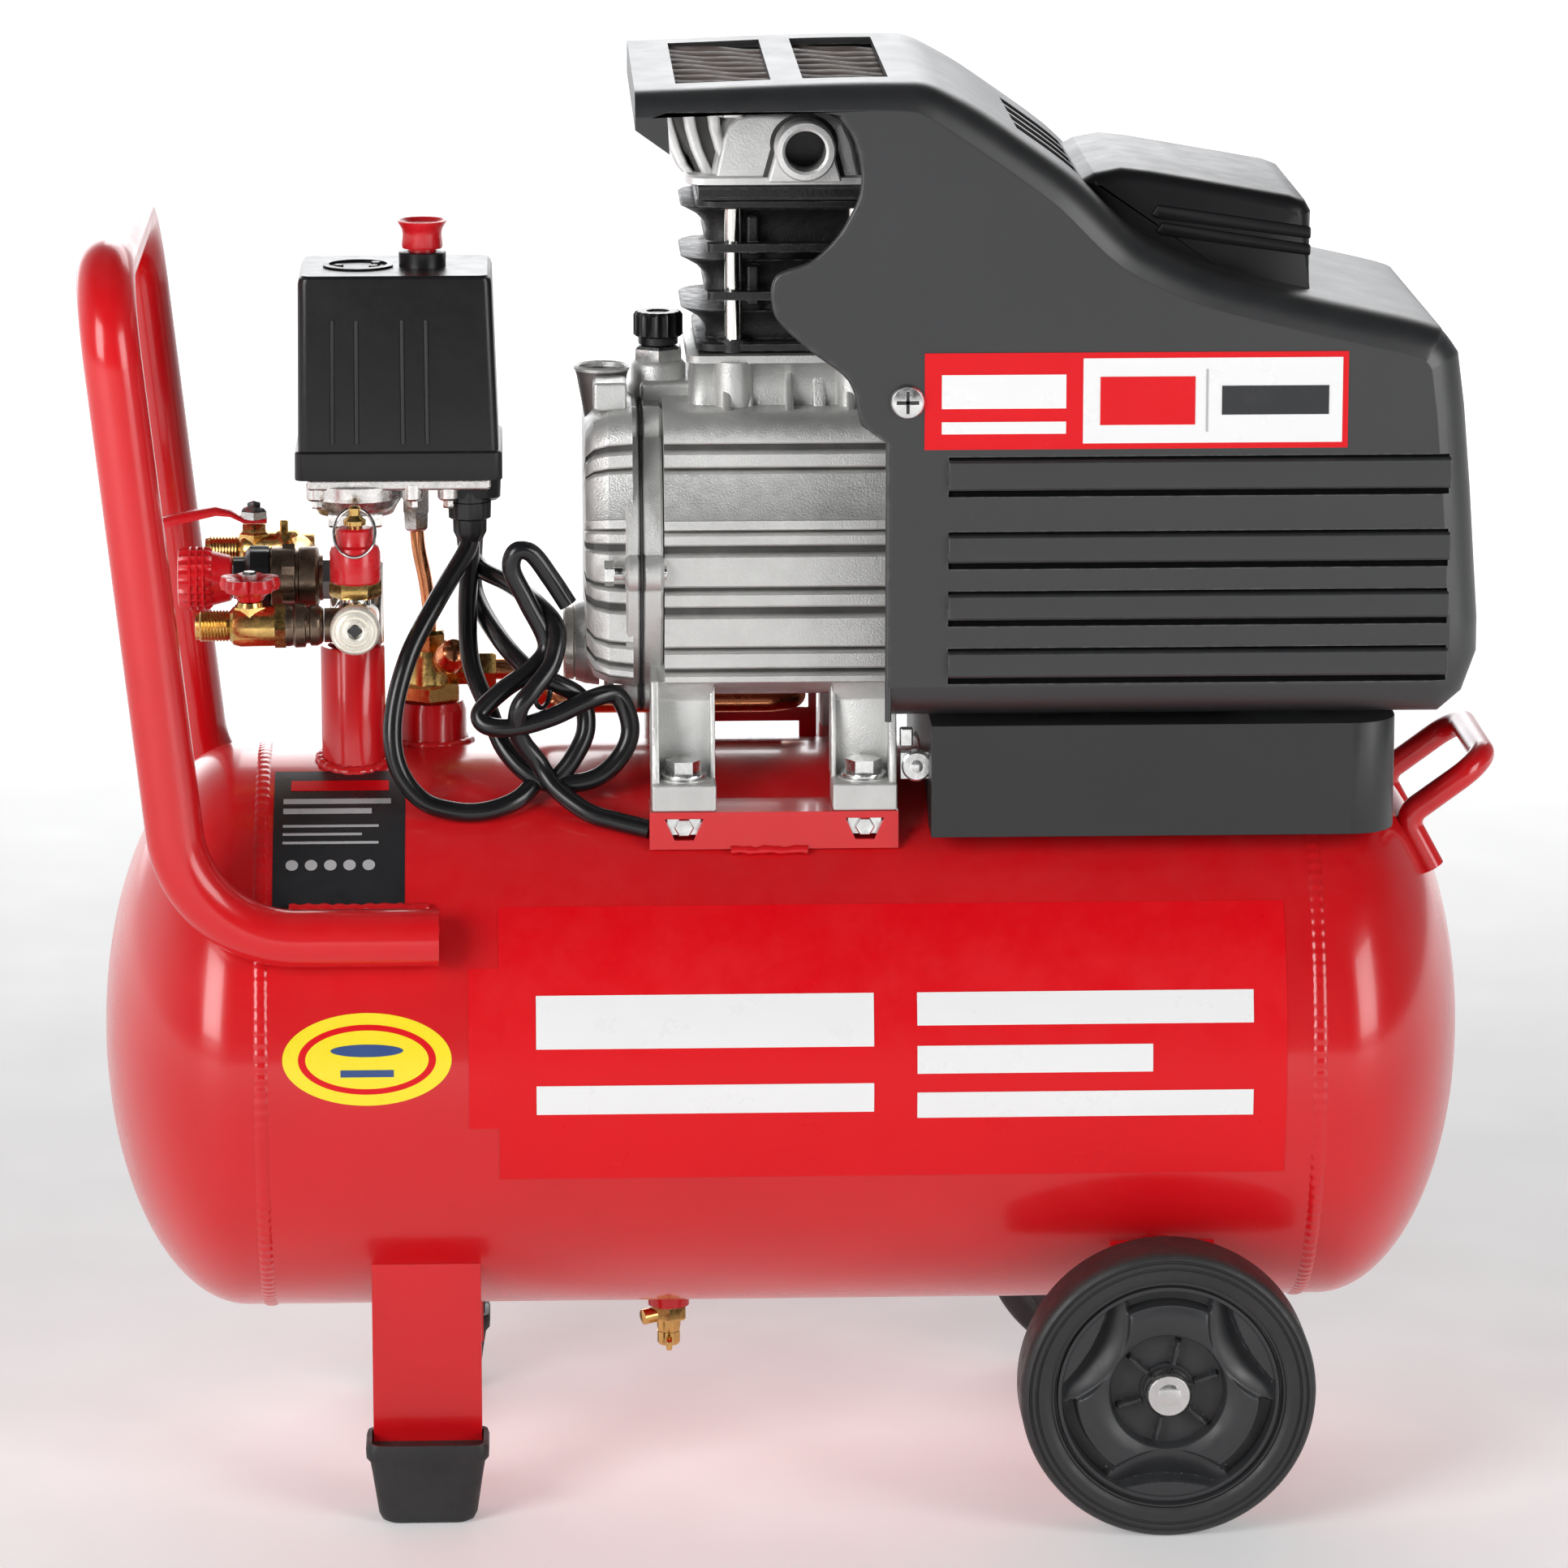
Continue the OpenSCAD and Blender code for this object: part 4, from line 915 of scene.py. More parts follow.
def motor_foot(x, sy, outer):
    """A channel-shaped leg on a pad; outer is the side with the deep wall."""
    wall = x + outer * 11.8
    parts = [box("foot_pad", (x - 13.5, min(sy * 80, sy * 54), 301),
                 (x + 13.5, max(sy * 80, sy * 54), 312.5), CAST, 1.1)]
    web = [(sy * 57, 311), (sy * 56, 344), (sy * 60, 349), (sy * 62, 353), (sy * 40, 362), (sy * 40, 311)]
    parts.append(slab("foot_web", web, x - 13, x + 13, CAST, "yz", 1.0))
    deep = [(sy * 76, 311), (sy * 73, 330), (sy * 66, 354), (sy * 40, 360), (sy * 40, 311)]
    parts.append(slab("foot_wall", deep, wall - 1.7, wall + 1.7, CAST, "yz", 0.8))
    shallow = [(sy * 64, 311), (sy * 60, 340), (sy * 58, 350), (sy * 45, 350), (sy * 45, 311)]
    parts.append(slab("foot_lip", shallow, x - outer * 12.4 - 1.1, x - outer * 12.4 + 1.1, CAST, "yz", 0.7))
    parts.append(lathe("foot_seat", (x, sy * BOLT_Y, 0), "z", solid((11.2, 311), (10.2, 313)), CAST, 32))
    return parts


def shaft_line():
    """The bores of the casing along the shaft: crank chamber, bearing seat, seal seat and motor."""
    steps = solid((54, -61), (54, 26), (26.2, 26), (26.2, 43.1), (17.2, 43.1), (17.2, 53), (56.8, 53),
                  (56.8, 196))
    return lathe("shaft_line", (0, 0, SHAFT_Z), "x", steps, CAST, 96)


def throat(radius, low, high):
    """A bore along the cylinder's axis."""
    return lathe("throat", (CYL_X, 0, 0), "z", solid((radius, low), (radius, high)), CAST, 96)


def motor_housing():
    """The ribbed casting from the pump to the motor, with its deck, gussets and feet."""
    body = loft("casing", [(banded_section(66, 340), -51), (banded_section(66, 340), 193),
                           (banded_section(66, 340, 0.97), 195)], CAST, "yz")
    shade_groove_floors(body, banded_section(66, 340))
    cut(body, shaft_line(), throat(28, 400, 490))
    parts = [body] + lugged_ring("casing_flange", -59.9, -51.5, 66)
    cut(parts[1], shaft_line())
    deck = stack(7, 6, CYL_X, [(46, 44, 462)])
    deck += stack(6, 6, CYL_X, [(44, 42, 466), (42.5, 41, 484), (45, 45.5, 484.6), (45, 45.5, 487.6),
                                (44.6, 45, 488)])
    parts.append(cut(loft("deck", deck, CAST, sharp=40), throat(28, 400, 490)))
    for x, y in STUDS:
        post = [(8.8, 462), (8.4, 478), (8.2, 485), (0, 485), (0, 462)]
        parts.append(lathe("stud_post", (x, y * 1.02, 0), "z", post, CAST, 32))
    for sy in (-1, 1):
        for x in (-24.5, 1.6, 27):
            parts.append(gusset(x, sy * 38, 484, sy * 57, 459))
        for x in (-16, 14, 40):
            parts.append(gusset(x, sy * 38, 485, sy * 46, 464, 2.6))
        parts += motor_foot(FOOT_X[0], sy, -1) + motor_foot(FOOT_X[1], sy, 1)
        post = solid((7.5, 40), (6.2, 96.5), (5.6, 97))
        parts.append(lathe("shroud_post", SHROUD_SCREW, "y" if sy > 0 else "-y", post, CAST, 32))
    neck = [(7, 452), (14, 452), (13.4, 468), (11.6, 470.5), (11.6, 477.5), (10.4, 479), (9, 480), (9, 484.5),
            (7, 484.5)]
    parts.append(lathe("filler_neck", FILLER, "z", neck, CAST, 48, closed=True))
    parts.append(box("neck_block", (-60, -15, 452), (-30, 15, 472), CAST, 2.5))
    fuse("pump_casing", parts, "cast_alloy", node="motor_housing")


def crankcase_cover():
    """The bolted end cover, its breather spout and the oil sight glass."""
    parts = lugged_ring("cover_flange", -67, -61, 66)
    cavity = solid((43, -80), (49, -75), (49, -59))
    hollow = lambda piece: cut(piece, lathe("cavity", (0, 0, SHAFT_Z), "x", cavity, CAST, 96))
    hollow(parts[0])
    sections = [(banded_section(61, 345, shrink), x)
                for shrink, x in ((0.98, -64), (0.96, -74), (0.92, -80), (0.84, -83.4), (0.70, -84))]
    parts.append(loft("cover_body", sections, CAST, "yz"))
    shade_groove_floors(parts[-1], banded_section(61, 345, 0.98))
    hollow(parts[-1])
    parts.append(box("cover_pad", (-80, -42, 464), (-66, -20, 476), CAST, 1.6))
    boss = solid((18.4, 78), (17.6, 84), (16.2, 88))
    parts.append(lathe("sight_boss", SIGHT, "-x", boss, CAST, 56))
    spout = [(2.2, 430), (3.6, 436), (7.6, 458), (10.6, 474.6), (11.5, 477.6), (10.8, 478.4), (9.6, 477.8),
             (9.0, 474), (7.4, 464), (0, 463), (0, 430)]
    # The spout's cone is darkened with painted shade; its lip keeps the casting's finish
    parts.append(lathe("breather_spout", (-76, -12, 0), "z", spout, SPOUT_PAINTED_SHADE, 48))
    lip = [(9.4, 476.8), (11.7, 477.2), (11.9, 478.4), (10.8, 479.2), (9.6, 478.6)]
    parts.append(lathe("spout_lip", (-76, -12, 0), "z", lip, CAST, 48, closed=True))
    fuse("casing_cover", parts, "cast_alloy", node="crankcase_cover")
    ring = [(7.5, 93), (14.8, 93), (15.8, 92.2), (16, 89), (15, 88.2), (15, 87.6), (9, 87.6), (9, 90.6),
            (8.2, 91)]
    lathe("sight_ring", SIGHT, "-x", ring, WHITE_METAL, 56, closed=True, slot="zinc_steel")
    glass = [(0, 90.2), (6, 90), (8.8, 89.2), (8.8, 84), (0, 84)]
    lathe("sight_window", SIGHT, "-x", glass, AMBER, 40, slot="clear_gauge", node="sight_glass")


def bolt_head(name, x, y, z, r, height, washer=None):
    """A hexagon head with a chamfered crown, above an optional washer."""
    parts = []
    base = 0
    if washer:
        rim = solid((washer, 0), (washer, 1.2), (washer - 0.4, 1.6))
        parts.append(lathe(name, (x, y, z), "z", rim, ZINC, 40))
        base = 1.5
    crown = [(0, base), (r, base), (r, base + height - 1), (r * 0.88, base + height),
             (r * 0.6, base + height - 0.2), (0, base + height - 0.5)]
    head = lathe(name, (x, y, z), "z", crown, ZINC, 6, turn=0.5, sharp=20)
    parts.append(soften(head, 0.35))
    return fuse(name, parts, "zinc_steel") if washer else head


def pump_fasteners():
    """The foot bolts, and the cross-head screws that hold the shroud."""
    for x in FOOT_X:
        for sy in (-1, 1):
            bolt_head("foot_bolt", x, sy * BOLT_Y, 312.9, 7.4, 5.6, washer=9.3)
    carry_over("mount_bolts", ZINC, 0.3)
    carry_over("cover_screws", ZINC, 0.3)
    for sy, axis in ((-1, "-y"), (1, "y")):
        pan = [(0, 103.2), (3.4, 103.1), (6.0, 102.7), (7.0, 101.4), (7.0, 99.4), (0, 99.4)]
        head = lathe("shroud_screw", SHROUD_SCREW, axis, pan, ZINC, 32, slot="zinc_steel")
        y0, y1 = sorted((sy * 102.56, sy * 104))
        cut(head, box("slot_cut", (47.2, y0, 472.2), (48.8, y1, 481.8), ZINC, 0),
            box("cross_cut", (43.2, y0, 476.2), (52.8, y1, 477.8), ZINC, 0))
        # Thin dark sheets on the floors of the cross slots are painted shade
        y0, y1 = sorted((sy * 102.52, sy * 102.64))
        floor = [box("recess", (47.3, y0, 472.4), (48.7, y1, 481.6), HOLE_SHADE, 0),
                 box("recess", (43.4, y0, 476.3), (52.6, y1, 477.7), HOLE_SHADE, 0)]
        fuse("screw_slot_shade", floor, "zinc_steel")


def pump_bracket():
    """The pump bed with its clip nuts, welds, stiffening plate and earth clip."""
    carry_over("pump_bracket", PAINT, 0.7)
    for x in FOOT_X:
        for sy in (-1, 1):
            y0, y1 = sorted((sy * 76.8, sy * 75.4))
            box("nut_clip", (x - 7.2, y0, 290.5), (x + 7.2, y1, 297.6), ZINC, 0.3, slot="zinc_steel")
            axis = "y" if sy > 0 else "-y"
            lathe("clip_nut", (x, 0, 294), axis, [(0, 76), (4.2, 76), (4.2, 78.6), (3.6, 79), (0, 78.7)],
                  ZINC, 6, slot="zinc_steel", sharp=20)
    for sy in (-1, 1):
        path = [Vector((-24 + k * 2, sy * 80.4, 284.6 + 0.3 * math.sin(k))) for k in range(17)]
        fillet_weld("bed_weld", path, 1.7)
    # stiffening plate between the rear feet, notched for the delivery tube
    plate = [(-29, 313), (9.5, 313), (9.5, 300), (17, 300), (17, 337), (13.5, 337), (13.5, 319), (2, 319),
             (2, 337), (-29, 337)]
    slab("bed_stiffener", plate, 45.5, 47, PAINT, "xz", 0.3, slot="red_paint")
    clip = [box("clip_plate", (47, -70, 312), (60, -67.5, 324), ZINC, 0.6),
            lathe("clip_eye", (54, 0, 318), "-y", [(2.2, 66), (6.4, 66), (6.4, 71.5), (5.6, 72), (2.2, 72)],
                  ZINC, 32, closed=True),
            box("clip_post", (47, -70, 326), (52.5, -66, 334), ZINC, 0.8),
            lathe("clip_screw", (54, 0, 318), "-y", [(0, 66), (2.6, 66), (2.6, 72.8), (0, 73.4)], ZINC, 16)]
    fuse("earth_clip", clip, "zinc_steel")


def oil_cap():
    """The ribbed filler cap and the nut on its neck."""
    stem = solid((6.8, 473), (6.8, 485.6), (8.4, 486.2), (8.4, 489.4))
    grip = solid((8.6, 489), (10.4, 490), (10.4, 498.6), (9.4, 500), (5.2, 500), (4.6, 499.2))
    parts = [lathe("cap_stem", FILLER, "z", stem, BLACK, 40, body="filler_cap"),
             lathe("cap_grip", FILLER, "z", grip, BLACK, 192, body="filler_cap",
                   ripple=ribbed(0.075, 16, 0.4), sharp=50)]
    fuse("filler_cap_knob", parts, "black_plastic", node="oil_cap")
    ring = [(7.8, 479.6), (11.2, 479.6), (11.2, 484.4), (10.2, 485.6), (7.8, 485.6)]
    lathe("neck_nut", FILLER, "z", ring, ZINC, 6, closed=True, slot="zinc_steel", sharp=20)


def ring_around(name, half_x, half_y, corner, profile, finish, **kw):
    """Runs a (reach, height) profile round a rectangle with round corners, about the cylinder."""
    rows = []
    for reach, z in profile:
        outline = rounded(half_x + reach, half_y + reach * 0.35, max(2, corner + reach * 0.5), 8, CYL_X, 0)
        rows.append([at(x, y, z) for x, y in outline])
    return grid(name, rows, finish, closed_rows=True, closed_cols=True, **kw)


def cylinder():
    """Cast-iron cylinder with horn-shaped fins, and the studs that clamp the head."""
    parts = []
    for top in (548.0, 526.6, 505.2):
        horn = [(13, top), (12.2, top + 0.4), (4, top - 0.2), (-9, top - 0.4), (-9, top - 14.4),
                (3.0, top - 14.2), (3.3, top - 13), (2.5, top - 10), (3.5, top - 6.6), (6.4, top - 3.4),
                (10.6, top - 1.1)]
        parts.append(ring_around("horn_fin", 34, 33.5, 10, horn, IRON, sharp=24))
    barrel = [(23.8, 489), (30, 489), (30, 552.8), (23.8, 552.8)]
    parts.append(lathe("cylinder_wall", (CYL_X, 0, 0), "z", barrel, IRON, 96, closed=True))
    for x, y in STUDS:
        lobe = solid((6.6, 489), (6.6, 494))
        parts.append(lathe("stud_lobe", (x, y, 0), "z", lobe, IRON, 32))
    for z0, z1 in ((488.9, 493.2), (549.0, 552.9)):
        edge = stack(9, 8, CYL_X, [(41 - 0.8, 45 - 0.8, z0), (41, 45, z0 + 0.8), (41, 45, z1 - 0.8),
                                   (41 - 0.8, 45 - 0.8, z1)])
        parts.append(cut(loft("cylinder_flange", edge, IRON), throat(23.8, 480, 560)))
    for z in (508, 529):
        parts.append(box("core_rib", (-16, -41, z), (-10.5, -28, z + 17), IRON, 1.5))
    for z in (511.4, 531.4):
        for sy in (-1, 1):
            lip = rounded(36.5, 4.5, 3, 5, CYL_X, sy * 43.2)
            parts.append(loft("fin_lip", [(lip, z), (lip, z + 3.4)], IRON, sharp=40))
    fuse("finned_cylinder", parts, "cast_iron", node="cylinder_barrel")
    carry_over("gaskets", GASKET, 0.15)
    carry_over("valve_plate", IRON, 0.15)
    for i, (x, y) in enumerate(STUDS):
        stud = [lathe("stud", (x, y * 1.03, 0), "z", solid((3.7, 486), (3.7, 560)), NICKEL, 32),
                bolt_head("stud_nut", x, y, 587, 7.2, 6.2)]
        fuse("head_stud_%d" % i, stud, "zinc_steel", node=None if i else "head_studs")


def cylinder_head():
    """Cast head with a flat front face, leaning side fins and the round intake boss."""
    base = stack(9, 8, CYL_X, [(44, 44.5, 558.7), (45.5, 46, 559.4), (45.5, 46, 562), (44.5, 45, 563)])
    parts = [loft("head_flange", base, HEAD_CAST_PAINTED_LIGHT)]
    core = stack(8, 8, CYL_X, [(35, 41, 562), (33, 40, 570), (30, 39, 584), (27, 36, 589),
                               (20, 30, 590.4)])
    parts.append(loft("head_core", core, HEAD_CAST_PAINTED_LIGHT, sharp=50))
    for side in (-1, 1):
        web = []
        for z, near, far in ((561, 20, 40), (570, 20, 44), (580, 20, 49), (586, 20, 51)):
            a, b = sorted((CYL_X + side * near, CYL_X + side * (far if side < 0 else far * 0.86)))
            web.append((rounded((b - a) / 2, 33, 3, 5, (a + b) / 2, 0), z))
        # The webs between the fins take the dark finish of painted shade
        parts.append(loft("head_web", web, RECESS_SHADE, sharp=45))
        for x, top, foot in ((34, 591.5, 560), (44, 590.5, 561), (53, 587.5, 563)):
            blade = []
            for z, pull in ((foot, -9), (566, -6.5), (573, -3.5), (581, -1.2), (top - 2, 0), (top, -1.2)):
                centre = CYL_X + side * (x + pull) * (1.0 if side < 0 else 0.86)
                blade.append((rounded(2.5, 40 - (x - 34) * 0.35, 2.2, 5, centre, 0), z))
            parts.append(loft("head_fin", blade, HEAD_CAST_PAINTED_LIGHT, sharp=45))
    rim = stack(6, 6, CYL_X, [(34, 41, 588), (34.6, 41.6, 589), (34, 41, 591.6), (31, 38, 592)])
    parts.append(loft("head_rim", rim, HEAD_CAST_PAINTED_LIGHT))
    facet = [(-29, 561.5), (-25.5, 578), (-23.5, 584), (-20, 587), (-14, 588.2), (18, 588.2), (24, 585),
             (28, 576), (31, 561.5)]
    face = slab("head_face", facet, -45, -30, HEAD_CAST_PAINTED_LIGHT, "xz", 1.4)
    parts.append(face)
    parts.append(slab("head_back", facet, 30, 45, HEAD_CAST_PAINTED_LIGHT, "xz", 1.4))
    arch = arc(INTAKE_X, 575.2, 12.4, 185, -5, 18)
    outline = [(-7.5, 561.5), (INTAKE_X - 12.2, 573)] + arch + [(INTAKE_X + 12.2, 573), (23, 561.5)]
    pedestal = slab("intake_pedestal", outline, -56, -40, HEAD_CAST_PAINTED_LIGHT, "xz", 1.0)
    # A dark ring round the pedestal paints the shade of the groove about it
    wider = [(x + (x - INTAKE_X) * 0.14, z + (z > 565) * 1.2) for x, z in outline]
    shade_ring = slab("intake_shade_ring", wider, -45.6, -40, RECESS_SHADE, "xz", 0)
    for part in (shade_ring, pedestal, face):
        bore = lathe("bore", INTAKE, "-y", solid((8.5, 30), (8.5, 70)), HEAD_CAST_PAINTED_LIGHT, 64)
        cut(settle(part), bore)
    ring = [(8.5, 38), (12.6, 38), (12.6, 60.4), (11.8, 61.6), (9.6, 61.9), (8.5, 61.2)]
    boss = lathe("intake_ring", INTAKE, "-y", ring, HEAD_CAST_PAINTED_LIGHT, 64, closed=True)
    parts += [pedestal, shade_ring, boss]
    parts.append(lathe("outlet_boss", INTAKE, "y", solid((11.5, 40), (10.2, 60), (9.6, 62), (5, 62)),
                       HEAD_CAST_PAINTED_LIGHT, 48))
    parts.append(lathe("intake_shadow", INTAKE, "-y", solid((8.3, 39), (8.3, 42)), BLACK, 32))
    fuse("head_casting", parts, "cast_alloy", node="cylinder_head")


motor_housing()
crankcase_cover()
pump_fasteners()
pump_bracket()
oil_cap()
cylinder()
cylinder_head()

# Shroud, scoop and lower box ------------------------------------------------------------------

SLOPE_FRONT = [(-63, 604), (-30, 605.2), (10, 606.6), (45, 607), (57, 606), (68, 601), (80, 594), (96, 583),
               (112, 571.5), (122, 563)]
SLOPE_SCOOP = [(137, 548), (146, 541), (162, 533), (182, 526), (216, 517.5)]
SLOPE_BACK = [(262, 507), (270, 502), (276, 494), (279, 472), (282, 438), (286, 383), (286, 369),
              (280, 352), (270, 343)]
ARCH = [(40.5, 343), (40.5, 460), (30, 468), (25, 486), (9, 499), (-2, 509), (-6, 516), (-5, 528), (9, 534),
        (19, 543), (25, 552), (29.4, 562), (30, 573), (27, 585), (21, 594.4), (14, 596), (-50, 596),
        (-49, 579), (-63, 589)]
SHROUD_Y = 100
SIDE_BANDS = [(452.6, 440), (421.4, 409.8), (396.6, 385.8), (372.6, 361.6)]
# Openings: the two windows in the roof along x, and the four slots in the slope along y
WINDOWS = ((-46, -7), (6, 41))
SLOTS = (-56, -28, 0, 28)


def smooth(points):
    """Rounds an open outline with a flowing curve, keeping its ends."""
    return [(p.x, p.y) for p in flow([Vector((x, y, 0)) for x, y in points], 5)]


def inset(outline, distance):
    """Moves a closed outline inwards by a distance."""
    area = sum(a[0] * b[1] - b[0] * a[1] for a, b in zip(outline, outline[1:] + outline[:1]))
    turn = 1 if area > 0 else -1
    moved = []
    for i, p in enumerate(outline):
        a = Vector(p) - Vector(outline[i - 1])
        b = Vector(outline[(i + 1) % len(outline)]) - Vector(p)
        if a.length < 1e-6 or b.length < 1e-6:
            continue
        a.normalize()
        b.normalize()
        na, nb = Vector((-a.y, a.x)) * turn, Vector((-b.y, b.x)) * turn
        m = (na + nb).normalized()
        moved.append(tuple(Vector(p) + m * distance / max(0.45, m.dot(na))))
    return moved


def quarter(reach, start, radius):
    """How far a round edge of a radius has fallen away at a reach beyond its start."""
    share = min(0.985, max(0.0, (reach - start) / radius))
    return radius * (1 - math.sqrt(1 - share * share))


def shroud_sections(coarse, arch_line):
    """Sections from side to side, whose top falls away over the round shoulders."""
    inward = inset(coarse + ARCH, 1.0)
    stations = (0, 60, 80, 84, 87, 90, 92.5, 95, 97, 98.6, 99.6, 100)
    rows = []
    for reach in [-r for r in stations[:0:-1]] + list(stations):
        lift = quarter(abs(reach), SHROUD_Y - 18, 18)
        section = []
        for i, (x, z) in enumerate(coarse):
            radius = 12.5 + 4 * smooth_step(30, 85, x)
            pull = quarter(abs(reach), SHROUD_Y - radius, radius)
            if i == 0:
                section.append((x, z - pull))
            elif i == len(coarse) - 1:
                section.append((x - 0.5 * pull, z + lift))
            else:
                section.append((x + (inward[i][0] - x) * pull, z + (inward[i][1] - z) * pull))
        section = smooth(section[:-6]) + section[-6:]
        x, z = arch_line[0]
        rows.append((section + [(x, z + lift)] + arch_line[1:], reach))
    return rows


def shroud_hollows(top):
    """Bodies to cut away: the inside, which narrows under the shoulders, and every opening."""
    hollow = [(-58, 600.6)] + inset(top, 3)[2:-1] + [(264, 330), (-70, 330), (-70, 588), (-58, 588)]
    tools = [slab("inside", hollow, -79, 79, CHARCOAL, "xz", 0)]
    for sy in (-1, 1):
        for near, far, depth in ((78, 86.2, 3.4), (85, 91.2, 5.8), (90, 95.1, 9.4), (94, 97, 12.8)):
            upper = [p for p in inset(top, depth)[3:-1] if p[1] > 368]
            cheek = [(-58, 603.6 - depth)] + upper + [(upper[-1][0] - 1, 366 - depth * 0.1),
                                                      (-70, 366 - depth * 0.1), (-70, 587), (-58, 587)]
            tools.append(slab("cheek", cheek, *sorted((sy * near, sy * far)), CHARCOAL, "xz", 0))
        for high, low in SIDE_BANDS:
            ys = sorted((sy * 97.6, sy * 103))
            tools.append(box("band_gap", (65, ys[0], low - 2.8), (271.5, ys[1], low + 0.4), CHARCOAL, 0))
            tools.append(box("band_line", (65, ys[0], high - 0.4), (271.5, ys[1], high + 1.2), CHARCOAL, 0))
    for x0, x1 in WINDOWS:
        tools.append(box("window", (x0, -72, 596), (x1, 72, 612), CHARCOAL, 0))
    for y in SLOTS:
        slot_outline = [(99, 588), (124, 570), (117, 559), (90, 578)]
        tools.append(slab("slope_slot", slot_outline, y + 1, y + 22, CHARCOAL, "xz", 0))
    return tools


def side_bands():
    """Raised bands along both sides, each with a gap above and below that holds a strip of painted shadow."""
    parts = []
    for high, low in SIDE_BANDS:
        for sy in (-1, 1):
            face = [(sy * 97, high), (sy * 101.2, high), (sy * 102.2, high - 0.9), (sy * 102.5, low + 1.2),
                    (sy * 101.6, low), (sy * 97, low)]
            parts.append(slab("side_band", face, 65, 272, CHARCOAL, "yz", 0.35))
            ys = sorted((sy * 97.4, sy * 98.2))
            parts.append(box("band_shade", (65.2, ys[0], low - 2.7), (271.3, ys[1], low - 0.1), SHADOW, 0))
            parts.append(box("band_shade", (65.2, ys[0], high + 0.1), (271.3, ys[1], high + 1.1), SHADOW, 0))
    return parts


def shroud():
    """A hollow moulding: flat sides, round shoulders and a lower edge that curls under."""
    coarse = SLOPE_FRONT + SLOPE_SCOOP + SLOPE_BACK
    arch_line = ARCH[:2] + smooth(ARCH[2:15]) + ARCH[15:]
    top = smooth(coarse[:-6]) + coarse[-6:]
    shell = loft("shroud_shell", shroud_sections(coarse, arch_line), CHARCOAL, "xz", sharp=30)
    settle(shell)
    cut(shell, *shroud_hollows(top), solver="MANIFOLD")
    soften(shell, 0.6, 2, 40)
    parts = [shell] + side_bands()
    for sy in (-1, 1):
        bead_line = [Vector((x, sy * 98.7, z)) for x, z in arch_line[:-4]]
        parts.append(sweep("arch_bead", bead_line, 1.35, CHARCOAL, 12))
    obj = fuse("fan_shroud", parts, "shroud_plastic")
    level(obj)
    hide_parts("shroud")
    grilles()


def grilles():
    """Thin wavy slats behind the two top windows and behind the slots in the slope."""
    for x0, x1 in WINDOWS:
        for k in range(9):
            rows = []
            for step in range(25):
                x = x0 - 0.5 + (x1 - x0 + 1) * step / 24
                mid = -62 + k * 17.4 - 0.42 * (x - x0) + 3.2 * math.sin(x * 0.21 + k * 0.9)
                rows.append([at(x, mid - 8.2, 598.6), at(x, mid - 7.4, 601.4), at(x, mid - 1.5, 603.5),
                             at(x, mid + 5.0, 602.6), at(x, mid + 7.2, 601.0), at(x, mid + 7.4, 598.6)])
            grid("window_slat", rows, MESH_BROWN, closed_cols=True, caps=True, slot="shroud_plastic",
                 sharp=60)
        box("window_backing", (x0 - 1, -73, 596.6), (x1 + 1, 73, 598.4), BLACK, 0.2, slot="shroud_plastic")
    for y in SLOTS:
        for k in range(3):
            low = (94 + k * 6.6, 573.6 - k * 4.7)
            ledge = [low, (low[0] + 3.4, low[1] - 2.4), (low[0] + 5.6, low[1] + 1.2),
                     (low[0] + 2.2, low[1] + 3.6)]
            slab("slope_slat", ledge, y + 0.5, y + 22.5, MESH_BROWN, "xz", 0.4, slot="shroud_plastic")


def scoop():
    """Hood over the fan inlet with rounded edges and two pressed flutes on each side."""
    top = [(120.5, 562), (127, 565.5), (138, 567.6), (150, 566.2), (208, 556), (214.5, 553.5), (217, 549)]
    foot = [(216.5, 517.4), (182, 524), (162, 531), (146, 539), (137, 546)]
    outline = top + foot
    rows = []
    steps = [(-64, 5.5), (-63.2, 3.4), (-61.4, 1.5), (-58.8, 0.4), (-56, 0)]
    count = len(top)
    for y, d in steps + [(-y, d) for y, d in reversed(steps)]:
        moved = inset(outline, d) if d else outline
        rows.append(([moved[i] if i < count else outline[i] for i in range(len(outline))], y))
    hood = loft("scoop_hood", rows, HOOD_BLACK, "xz", sharp=34)
    parts = [hood]
    for sy in (-1, 1):
        for z0, dz, x0 in ((548.5, 4.3, 150), (541.5, 4.0, 152)):
            flute = [(x0, z0), (x0 + 3, z0 + dz), (216.6, z0 + dz - 9.6), (216.6, z0 - 10.4),
                     (x0 + 3, z0 - 1.6)]
            parts.append(slab("scoop_flute", flute, *sorted((sy * 62, sy * 65)), HOOD_BLACK, "xz", 1.0))
    fuse("scoop", parts, "black_plastic", node="air_scoop")


shroud()
scoop()
carry_over("lower_box", LOWER, 1.6)

# Pressure switch ------------------------------------------------------------------------------

# Foot of the pull knob's axis, and the middle of the switch's hood along the tank
PULL = (-151, 0, 0)
HOOD_X = -161.5


